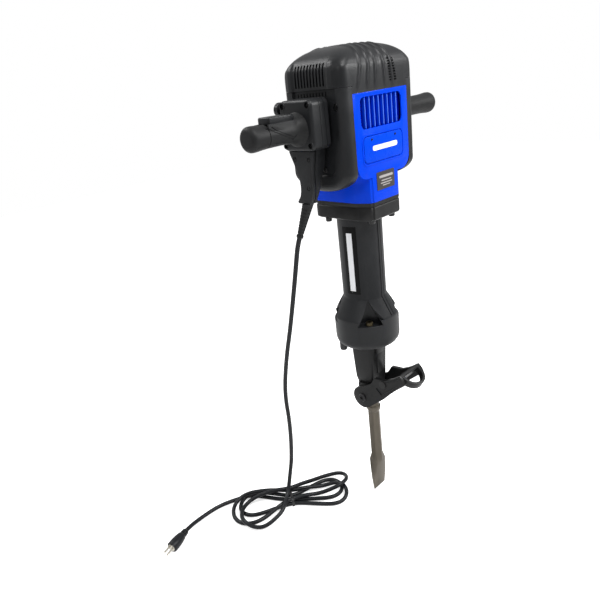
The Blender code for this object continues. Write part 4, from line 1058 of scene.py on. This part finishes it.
def pocket(angle):
    """Three-sided bolt pocket, steep towards the sides and easier towards the parting line."""
    toward = seam_side(angle)
    near, far = 0.008, 0.0035
    inner = [(0.0, POCKET_TOP_Z - 0.004), (POCKET_HALF, POCKET_FLOOR_Z),
             (-POCKET_HALF, POCKET_FLOOR_Z)]
    outer = [(toward * 0.006, POCKET_TOP_Z + 0.006),
             (POCKET_HALF + (near if toward > 0 else far), POCKET_FLOOR_Z),
             (-POCKET_HALF - (near if toward < 0 else far), POCKET_FLOOR_Z)]
    rings = [[(radius, u, v) for u, v in outline]
             for radius, outline in ((0.0485, inner), (0.084, outer))]
    return turned_about_z(lofted("pocket", rings), angle)


def pocket_facet(angle):
    """Shallow slanted land between a pocket and the parting line."""
    toward = seam_side(angle)
    low = POCKET_FLOOR_Z + 0.013
    rings = [[(radius, 0.0, peak), (radius, toward * reach, low), (radius, -0.002 * toward, low)]
             for radius, reach, peak in ((0.056, 0.012, -0.425), (0.08, 0.048, -0.385))]
    return turned_about_z(lofted("facet", rings), angle)


def seam_groove(middle, half, depth, face, top):
    """Narrow cutter that follows the barrel and the flare down one face."""
    rings = []
    for z, radius in ((top - 0.002, BARREL_R), (FLARE_TOP_Z + 0.001, BARREL_R),
                      (BELL_TOP_Z + 0.003, BELL_R - 0.0015)):
        near, far = face * (radius - depth), face * (radius + 0.012)
        rings.append([(middle - half, far, z), (middle + half, far, z), (middle + half, near, z),
                      (middle - half, near, z)])
    return lofted("seam", rings)


def barrel():
    """Split casing with its rebated parting lines, and the label strip on its left front."""
    top = FLANGE_LOW.z - PIN_GAP
    profile = [(BARREL_BORE_R, top), (BARREL_R, top), (BARREL_R, FLARE_TOP_Z + 0.0012),
               (BARREL_R + 0.0004, FLARE_TOP_Z), (BELL_R - 0.0022, BELL_TOP_Z + 0.005),
               (BELL_R - 0.0006, BELL_TOP_Z + 0.0018),
               (BELL_R - 0.0001, BELL_TOP_Z), (BARREL_BORE_R, BELL_TOP_Z)]
    for name, side in (("barrel_shell_left", -1), ("barrel_shell_right", 1)):
        made = piece(name, half_turned(profile, -side), "black_plastic", smooth_angle=30.0)
        for angle in POCKET_ANGLES:
            if math.cos(angle) * side > 0.0:
                carve(made, pocket_facet(angle))
                carve(made, pocket(angle))
        grooves = [(0.0, 0.0012, 0.003)] + ([(0.0095, 0.0009, 0.0022)] if side > 0 else [])
        for middle, half, depth in grooves:
            for face in (-1, 1):
                carve(made, seam_groove(side * middle, half, depth, face, top))
    label_strip()


LABEL_MIDDLE = math.radians(190.0)
LABEL_HALF = 0.018


def curved_strip(half_width, low, high, radius, lift):
    """Strip of a thin skin on the barrel, between two heights."""
    rings = []
    steps = 14
    for z in (low, high):
        ring = []
        for r in (radius, radius + lift):
            order = range(steps + 1) if r == radius else range(steps, -1, -1)
            for i in order:
                angle = LABEL_MIDDLE + (2.0 * i / steps - 1.0) * half_width / BARREL_R
                ring.append((r * math.cos(angle), r * math.sin(angle), z))
        rings.append(ring)
    return lofted("strip", rings)


def label_strip():
    """Dark strip down the left front with one plain white bar."""
    piece("barrel_label", curved_strip(LABEL_HALF, -0.395, -0.23, BARREL_R + 0.00005, 0.0003),
          "label_and_shade_black")
    piece("barrel_bar", curved_strip(0.007, -0.387, -0.245, BARREL_R + 0.0004, 0.0002),
          "print_white")


def bell():
    """Bell around the nose: flush with the flare, rounded under, with pockets and bolts."""
    low = BELL_LOW.z
    rim = BELL_TOP_Z - 0.0001
    profile = [(NOSE_BORE_R, rim), (BELL_R, rim), (BELL_R, -0.513), (0.079, -0.519),
               (0.0775, -0.5245),
               (0.076, -0.5262), (0.0752, -0.5275), (0.0735, -0.5305), (0.07, -0.5332),
               (0.064, low), (NOSE_BORE_R, low)]
    made = piece("nose_casting", turned(profile, steps=96, loop=True), "bell_black",
                 smooth_angle=30.0)
    for angle in POCKET_ANGLES:
        carve(made, pocket(angle))
    soften(made, 0.0003, 1, 50.0)
    top = POCKET_FLOOR_Z + PIN_GAP
    head = [(0.006, top - 0.004), (0.006, top), (HEAD_BOLT_R, top), (HEAD_BOLT_R, top + 0.0066),
            (0.0082, top + 0.008), (0.006, top + 0.0086)]
    nut = [(0.0095, low - 0.0003), (0.0095, low - 0.0215), (0.0084, low - 0.0243),
           (0.004, low - 0.025)]
    for number, angle in enumerate(POCKET_ANGLES, 1):
        centre = (BOLT_CIRCLE_R * math.cos(angle), BOLT_CIRCLE_R * math.sin(angle))
        bolt = piece(f"nose_bolt_{number}", turned(head, "z", centre, 32), "bolt_brassy")
        carve(bolt, prism(circle(0.0042, 6, centre, angle), "z", top + 0.0035, top + 0.02))
        if centre[1] > 0.0:
            piece(f"nose_nut_{number}", turned(nut, "z", centre, 24), "bolt_black")


NOSE_SECTIONS = [  # height, half width, half depth, corner radius
    (-0.4703, 0.033, 0.033, 0.032), (-0.535, 0.0335, 0.0335, 0.012), (-0.56, 0.033, 0.0325, 0.009),
    (-0.61, 0.031, 0.03, 0.008), (-0.64, 0.03, 0.029, 0.009), (-0.656, 0.0245, 0.029, 0.009),
    (-0.678, 0.0245, 0.027, 0.011),
]
LATCH_Z = -0.691                         # height of the latch's hinge
HINGE_HOLE_R = 0.0084


def nose():
    """Cast nose: tapered block with a raised panel, a step and two hinge ears."""
    rings = [[(x, y, z) for x, y in rounded(half_x, half_y, radius, (0.0, 0.0), 5)]
             for z, half_x, half_y, radius in NOSE_SECTIONS]
    made = piece("front_head", lofted("nose", rings), "cast_black", smooth_angle=30.0)
    for face in (-1, 1):
        near, far = span(face, 0.03, 0.0352)
        carve(made, box((-0.0135, near, -0.568), (0.0135, far, -0.5352)), "UNION")
        near, far = span(face, 0.026, 0.033)
        carve(made, box((-0.0105, near, -0.623), (0.0105, far, -0.57)), "UNION")
    for face in (-1, 1):
        for side in (-1, 1):
            wedge = [(side * 0.016, -0.548), (side * 0.03, -0.548), (side * 0.025, -0.62),
                     (side * 0.016, -0.62)]
            carve(made, prism(wedge, "y", *span(face, 0.0306, 0.05)))
    ear = [(0.019, -0.656)] + arc((0.0, LATCH_Z), 0.0212, 0, -180, 20) + [(-0.019, -0.656)]
    for side in (-1, 1):
        carve(made, prism(ear, "x", *span(side, 0.0246, 0.0304)), "UNION")
    soften(made, 0.0011, 2, 40.0)
    carve(made, prism(circle(0.0186, 40), "z", -0.7, -0.46))
    for side in (-1, 1):
        carve(made, prism(circle(HINGE_HOLE_R, 24, (0.0, LATCH_Z)), "x", *span(side, 0.022, 0.033)))


# ---------------------------------------------------------------- latch
LATCH_R = 0.03
CHEEK_IN = 0.0308
CHEEK_OUT = 0.0405
LOOP_PLACE = (0.0, -0.119, -0.599)
LOOP_HALF_BAND = 0.009
LOOP_TILT = math.radians(31.0)
EYE_STEPS = ((1.09, -0.0096), (1.02, -0.0072), (1.0, -0.005), (1.0, 0.005), (1.02, 0.0072),
             (1.09, 0.0096))             # growth of the finger hole, height in the loop


def cheek_outline():
    """Side view of a latch cheek: round hub and a wedge up to the loop."""
    points = [(-0.1215, -0.5895), (-0.1315, -0.5995), (-0.136, -0.608), (-0.1348, -0.6114),
              (-0.106, -0.6354), (-0.09, -0.6505), (-0.0693, -0.6721)]
    points += arc((0.0, LATCH_Z), LATCH_R, 226, 434, 26)
    return points + [(-0.016, -0.65), (-0.03, -0.642), (-0.043, -0.621), (-0.075, -0.618),
                     (-0.098, -0.606)]


def half_ring(half_width, straight, reach, back, steps=26):
    """Outline of a D: straight back towards the hinge, round front."""
    points = [(half_width, back), (half_width, straight)]
    for i in range(1, steps):
        angle = math.pi * i / steps
        points.append((half_width * math.cos(angle),
                       straight - (reach + straight) * math.sin(angle)))
    return points + [(-half_width, straight), (-half_width, back)]


def tilted(data):
    """A mesh moved into the tilted plane of the latch's loop."""
    data.transform(Matrix.Translation(LOOP_PLACE) @ Matrix.Rotation(LOOP_TILT, 4, "X"))
    return data


def latch():
    """Forked lever: two cheeks with sunk fields, a round finger loop and hub bosses."""
    made = piece("retainer_latch", prism(cheek_outline(), "x", -CHEEK_OUT, -CHEEK_IN), "cast_black",
                 body="latch", smooth_angle=35.0)
    carve(made, prism(cheek_outline(), "x", CHEEK_IN, CHEEK_OUT), "UNION")
    ring = half_ring(0.0345, -0.005, 0.042, 0.005)
    carve(made, tilted(prism(ring, "z", -LOOP_HALF_BAND, LOOP_HALF_BAND)), "UNION")
    soften(made, 0.0022, 3, 35.0)
    hole = half_ring(0.0255, -0.008, 0.033, -0.004)
    eye = [[(u * grow, v * grow - 0.0004 * (grow > 1.01), w) for u, v in hole]
           for grow, w in EYE_STEPS]
    carve(made, tilted(lofted("eye", eye)))
    slit = [(-0.078, -0.6225), (-0.1175, -0.601), (-0.1183, -0.599), (-0.078, -0.6205)]
    recess = [(-0.046, -0.648), (-0.088, -0.629), (-0.118, -0.611), (-0.113, -0.622),
              (-0.062, -0.664)]
    for side in (-1, 1):
        outside = span(side, CHEEK_OUT - 0.0016, CHEEK_OUT + 0.002)
        carve(made, prism(slit, "x", *outside))
        carve(made, prism(recess, "x", *outside))
        pad = span(side, CHEEK_OUT - 0.003, CHEEK_OUT + 0.0016)
        carve(made, prism(circle(0.0105, 28, (-0.068, -0.631)), "x", *pad), "UNION")
        boss = turned([(0.0175, side * (CHEEK_OUT - 0.002)), (0.0175, side * (CHEEK_OUT - 0.0001)),
                       (0.015, side * (CHEEK_OUT + 0.0002))], "x", (0.0, LATCH_Z), 40)
        carve(made, boss, "UNION")
        near, far = span(side, 0.019, 0.033)
        carve(made, box((near, -0.01, -0.7215), (far, 0.01, -0.7135)), "UNION")
    for side, name in ((-1, "latch_bolt_left"), (1, "latch_bolt_right")):
        carve(made, prism(circle(HINGE_HOLE_R, 28, (0.0, LATCH_Z)), "x", *span(side, 0.026, 0.046)))
        profile = [(radius, side * along) for radius, along in
                   ((0.008, 0.025), (0.008, 0.0408), (0.011, 0.0409), (0.011, 0.0435),
                    (0.01, 0.0446), (0.006, 0.045))]
        bolt = piece(name, turned(profile, "x", (0.0, LATCH_Z), 32), "bolt_black")
        carve(bolt, prism(circle(0.005, 6, (0.0, LATCH_Z)), "x", *span(side, 0.0425, 0.05)))


# ---------------------------------------------------------------- chisel
HEX_R = 0.0286 / math.sqrt(3.0)          # corner radius of a 28.6 mm hexagon
BLADE = [  # height, half width, depth
    (-0.908, 0.0165, 0.0286), (-0.925, 0.019, 0.0235), (-0.945, 0.0213, 0.018),
    (-0.965, 0.0226, 0.013), (-0.985, 0.023, 0.007), (FLOOR_Z + 0.004, 0.023, 0.0028),
    (FLOOR_Z, 0.0226, 0.0014),
]
COLLAR = [(0.015, -0.696), (0.02, -0.6966), (0.0225, -0.6985), (0.0235, -0.701), (0.0235, -0.7055),
          (0.0222, -0.7085), (0.019, -0.711), (0.015, -0.712)]
SHOULDER = [(0.014, -0.7325), (0.0172, -0.7335), (0.0185, -0.7355), (0.0185, -0.743),
            (0.0172, -0.747), (0.015, -0.752)]


def hexagon(scale=1.0):
    """Section of the shank, scaled."""
    return circle(HEX_R * scale, 6, (0.0, 0.0), math.radians(30.0))


def chisel():
    """Forged flat chisel: hexagon shank, collar, small shoulder and flared blade."""
    top = CHISEL_HIGH.z
    levels = [(top, 0.85), (top - 0.004, 1.0), (-0.7, 1.0), (-0.8, 1.0), (-0.89, 1.0)]
    rings = [[(x, y, z) for x, y in hexagon(scale)] for z, scale in levels]
    for z, half_x, depth in BLADE:
        ring = []
        for x, y in hexagon():
            side = 0.0 if abs(x) < 1e-6 else math.copysign(1.0, x)
            push = 0.5 if side else 0.5 + 0.06 * ease((z - FLOOR_Z) / 0.08)
            ring.append((side * half_x, math.copysign(depth * push, y), z))
        rings.append(ring)
    made = piece("chisel", lofted("chisel", rings), "bit_steel", body="chisel", smooth_angle=25.0)
    carve(made, turned(COLLAR, steps=40), "UNION")
    carve(made, turned(SHOULDER, steps=40), "UNION")
    soften(made, 0.0009, 2, 25.0)


# ---------------------------------------------------------------- plug, tie and strain relief
EXIT_TOP = Vector((-0.155, 0.006, -0.1531))
EXIT_END = Vector((-0.1622, 0.0362, -0.229))
PLUG_START = Vector((-0.466, 0.29, FLOOR_Z + 0.0151))
PLUG_DIRECTION = Vector((-0.949, -0.314, 0.0)).normalized()


def aligned(data, start, direction):
    """Turn a mesh built along +Z from the origin to run from `start` along `direction`."""
    data.transform(Matrix.Translation(start) @ heading(direction, "Z"))
    return data


def strain_relief():
    """Tapered sleeve with ring grooves and a bead at its end."""
    direction = (EXIT_END - EXIT_TOP).normalized()
    start = EXIT_TOP - 0.006 * direction
    length = (EXIT_END - start).length
    profile = [(0.0122, 0.0), (0.0118, 0.01)]
    rings = 9
    for i in range(rings):
        share = i / rings
        z = 0.011 + (length - 0.019) * share
        radius = 0.0116 - 0.0046 * share
        profile += [(radius, z), (radius - 0.0002, z + 0.0042), (radius - 0.0013, z + 0.0048),
                    (radius - 0.0013, z + 0.006)]
    profile += [(0.0066, length - 0.007), (0.0078, length - 0.0052), (0.0081, length - 0.003),
                (0.0074, length - 0.0004), (0.0056, length)]
    made = piece("strain_relief", aligned(turned(profile, steps=36), start, direction), "rubber",
                 smooth_angle=45.0)
    carve(made, box((-0.2, -0.05, -0.1527), (-0.1, 0.05, -0.1)))


def plug():
    """Moulded three-pin plug with a ribbed neck."""
    profile = [(0.0058, 0.0003), (0.0076, 0.0016)]
    for i in range(3):
        z = 0.003 + 0.0046 * i
        radius = 0.0088 + 0.00022 * i
        profile += [(radius, z), (radius, z + 0.0028), (radius - 0.0011, z + 0.0032),
                    (radius - 0.0011, z + 0.0042)]
    profile += [(0.01, 0.0175), (0.0112, 0.0195), (0.0124, 0.025), (0.0138, 0.034),
                (0.0147, 0.0435), (0.0148, 0.047), (0.0148, 0.059), (0.0144, 0.061), (0.013, 0.062)]
    body = piece("plug_body", aligned(turned(profile, steps=40), PLUG_START, PLUG_DIRECTION),
                 "cord_rubber", smooth_angle=40.0)
    across = Vector((-PLUG_DIRECTION.y, PLUG_DIRECTION.x, 0.0))
    base = PLUG_START + PLUG_DIRECTION * 0.0623
    face = turned([(0.0098, 0.0), (0.0098, 0.0012), (0.0092, 0.0018)], steps=28)
    prongs = piece("plug_prongs", aligned(face, base, PLUG_DIRECTION), "nickel")
    section = ((-0.003, -0.0008), (0.003, -0.0008), (0.003, 0.0008), (-0.003, 0.0008))
    for shift in (-1, 1):
        blade = lofted("blade", [[(u * grow, v, w) for u, v in section]
                                 for w, grow in ((0.0008, 1.0), (0.0195, 1.0), (0.0215, 0.72))])
        start = base + across * 0.006 * shift + Vector((0, 0, 0.002))
        carve(prongs, aligned(blade, start, PLUG_DIRECTION), "UNION")
    ground = turned([(0.0024, 0.0008), (0.0024, 0.0205), (0.0016, 0.0222), (0.0008, 0.0225)],
                    steps=18)
    carve(prongs, aligned(ground, base + Vector((0, 0, -0.0055)), PLUG_DIRECTION), "UNION")
    return body, prongs


def hank_tie():
    """Flat tie bent over the waist of the hank."""
    half, height, bend = 0.0262, 0.0222, 0.011
    outline = []
    for offset, flip in ((0.001, 1), (0.0, -1)):
        part = [(-half - offset, 0.0006)]
        part += arc((-half + bend, height - bend - 0.001), bend + offset, 180, 90, 6)
        part += arc((half - bend, height - bend - 0.001), bend + offset, 90, 0, 6)
        part += [(half + offset, 0.0006)]
        outline += part[::flip]
    data = prism([(u, FLOOR_Z + v) for u, v in outline], "x", -0.0032, 0.0032)
    turn = Matrix.Rotation(math.atan2(HANK_ALONG.y, HANK_ALONG.x), 4, "Z")
    data.transform(Matrix.Translation(HANK_CENTRE) @ turn)
    return piece("hank_tie", data, "bolt_black", smooth_angle=40.0)


# ---------------------------------------------------------------- cord
DROP_ROUTE = [
    (-0.1623, 0.0365, -0.2297), (-0.1641, 0.044, -0.2486), (-0.1668, 0.0575, -0.307),
    (-0.17, 0.0761, -0.3836), (-0.175, 0.0953, -0.4645), (-0.18, 0.114, -0.5366),
    (-0.184, 0.13, -0.614), (-0.188, 0.133, -0.67), (-0.1895, 0.13, -0.7277),
    (-0.188, 0.137, -0.8), (-0.1862, 0.15, -0.8712), (-0.1868, 0.1595, -0.908),
    (-0.19, 0.1625, -0.93), (-0.1985, 0.161, -0.954), (-0.212, 0.155, -0.9705),
    (-0.229, 0.145, -0.978),
]
HANK_ENTRY = (0.0355, 0.057)             # where the drop joins the hank: along, across
TAIL_ROUTE = [
    (-0.2962, 0.2804, -0.9994), (-0.316, 0.289, -0.9994), (-0.336, 0.2975, -0.9994),
    (-0.362, 0.303, -0.9994), (-0.39, 0.305, -0.9994), (-0.42, 0.303, -0.998),
    (-0.444, 0.2973, -0.992), (-0.4652, 0.2903, -0.99),
]
# The hank's loops from the plug's end: side (1 towards the plug), reach, radius, shift.
HANK_LOBES = [
    (-1, 0.152, 0.0395, -0.003), (1, 0.149, 0.04, -0.01), (-1, 0.158, 0.0405, 0.024),
    (1, 0.17, 0.05, 0.008), (-1, 0.172, 0.038, -0.018), (1, 0.149, 0.053, 0.031),
]
TIE_OFFSETS = [0.0057, -0.0057, 0.017, -0.017, 0.0115, -0.0115]   # strands under the tie
INTO_TIE = ((0.1124, -0.054), (0.076, -0.036), (0.036, -0.01))
LOOP_STEPS = 22
CROSSING_REACH = 1.12                    # diameters between the strands of a crossing
NEAR_FLOOR = 0.03                        # the hanging stretch above this is not lifted


def hank_spot(along, across):
    """Place on the floor, measured from the tie along and across the hank."""
    spot = HANK_CENTRE + HANK_ALONG * along + HANK_ACROSS * across
    return Vector((spot.x, spot.y, FLOOR_Z + CORD_D / 2.0))


def hank_loop(start, end, reach, radius, shift):
    """Out of the tie at start, round a circle and back to end, as (along, across) pairs."""
    centre = reach - radius
    leave = math.atan2(start[1] - shift, start[0] - centre) % (2.0 * math.pi)
    back = math.atan2(end[1] - shift, end[0] - centre)
    back -= 2.0 * math.pi if back > 0.0 else 0.0
    leave -= math.acos(radius / math.hypot(start[0] - centre, start[1] - shift))
    back += math.acos(radius / math.hypot(end[0] - centre, end[1] - shift))
    points = [start]
    for step in range(LOOP_STEPS + 1):
        angle = leave + (back - leave) * step / LOOP_STEPS
        points.append((centre + radius * math.cos(angle), shift + radius * math.sin(angle)))
    return points


def hank_points():
    """The wound turns, from the plug's end to the drop's end, flat on the floor."""
    points = []
    ends = [(0.0, offset) for offset in TIE_OFFSETS[1:]] + [HANK_ENTRY]
    for (side, reach, radius, shift), start, (end_u, end_v) in zip(HANK_LOBES, TIE_OFFSETS, ends):
        sense = 1.0 if start > 0.0 else -1.0
        loop = hank_loop((0.0, start * sense), (end_u, end_v * sense), reach, radius, shift * sense)
        points += [hank_spot(u * side, v * sense) for u, v in loop]
    return points + [hank_spot(*HANK_ENTRY)]


def laid_down(points, climb=0.22):
    """Lift each later stretch over what it crosses, in long low humps."""
    resting = FLOOR_Z + CORD_D / 2.0
    spacing = (points[1] - points[0]).length
    skip = int(3.0 * CORD_D / spacing)      # a stretch never crosses its own neighbours
    reach = CORD_D * CROSSING_REACH
    heights = [max(p.z, resting) for p in points]
    rise = climb * spacing
    for _ in range(3):
        for i, here in enumerate(points):
            for j in range(0, max(0, i - skip)):
                flat = math.hypot(here.x - points[j].x, here.y - points[j].y)
                if flat < reach:
                    heights[i] = max(heights[i],
                                     heights[j] + math.sqrt(reach * reach - flat * flat))
        for i in range(1, len(points)):
            heights[i] = max(heights[i], heights[i - 1] - rise)
        for i in range(len(points) - 2, -1, -1):
            if points[i + 1].z < resting + NEAR_FLOOR:
                heights[i] = max(heights[i], heights[i + 1] - rise)
    for _ in range(3):
        smooth = heights[:]
        for i in range(3, len(points) - 3):
            smooth[i] = sum(heights[i - 3:i + 4]) / 7.0
        heights = smooth
    heights = [max(height, resting) for height in heights]
    return [Vector((p.x, p.y, h)) for p, h in zip(points, heights)]


def relaxed(points, spacing=0.006, passes=8):
    """Ease the tight corners out of a flat winding, as a springy cord does by itself."""
    line = even(points, spacing)
    for _ in range(passes):
        eased = [(line[i - 1] + line[i] * 2.0 + line[i + 1]) / 4.0 for i in range(1, len(line) - 1)]
        line = [line[0]] + eased + [line[-1]]
    return line


def cord_line():
    """The cord's whole centreline, from the strain relief to the plug."""
    tail = [Vector(p) for p in reversed(TAIL_ROUTE)]
    into_tie = [hank_spot(*spot) for spot in INTO_TIE]
    drop = [Vector(p) for p in reversed(DROP_ROUTE)]
    wound = relaxed(into_tie + hank_points())
    knots = tail + even(wound, 0.02) + drop
    return list(reversed(laid_down(relaxed(catmull(knots, 12), spacing=0.004, passes=24))))


def make_cord():
    """The jacket, swept along the centreline as one closed mesh."""
    line = cord_line()
    curve = bpy.data.curves.new("mains_cord", "CURVE")
    curve.dimensions = "3D"
    curve.bevel_depth = CORD_D / 2.0
    curve.bevel_resolution = 4
    curve.use_fill_caps = True
    spline = curve.splines.new("POLY")
    spline.points.add(len(line) - 1)
    for spot, point in zip(spline.points, line):
        spot.co = (*point, 1.0)
    sweep = bpy.data.objects.new("sweep", curve)
    bpy.context.scene.collection.objects.link(sweep)
    bpy.context.view_layer.update()
    evaluated = sweep.evaluated_get(bpy.context.evaluated_depsgraph_get())
    data = bpy.data.meshes.new_from_object(evaluated)
    bpy.data.objects.remove(sweep)
    made = piece("mains_cord", data, "cord_rubber", smooth_angle=60.0,
                 replaces=("cord_drop", "cord_tail", "cord_hank"))
    length = sum((q - p).length for p, q in zip(line, line[1:]))
    return made, line, length


camera()
studio()
head_top_cover()
head_side_cover(-1, "side_cover_left")
head_side_cover(1, "side_cover_right")
head_housing()
grille()
front_plates()
foot_flange()
switch_box()
lock_button()
cord_housing()
left_handle()
right_handle()
barrel()
bell()
nose()
latch()
chisel()
strain_relief()
plug_pieces = plug()
tie_piece = hank_tie()
cord_piece, cord_path, cord_length = make_cord()
settle_finishes()
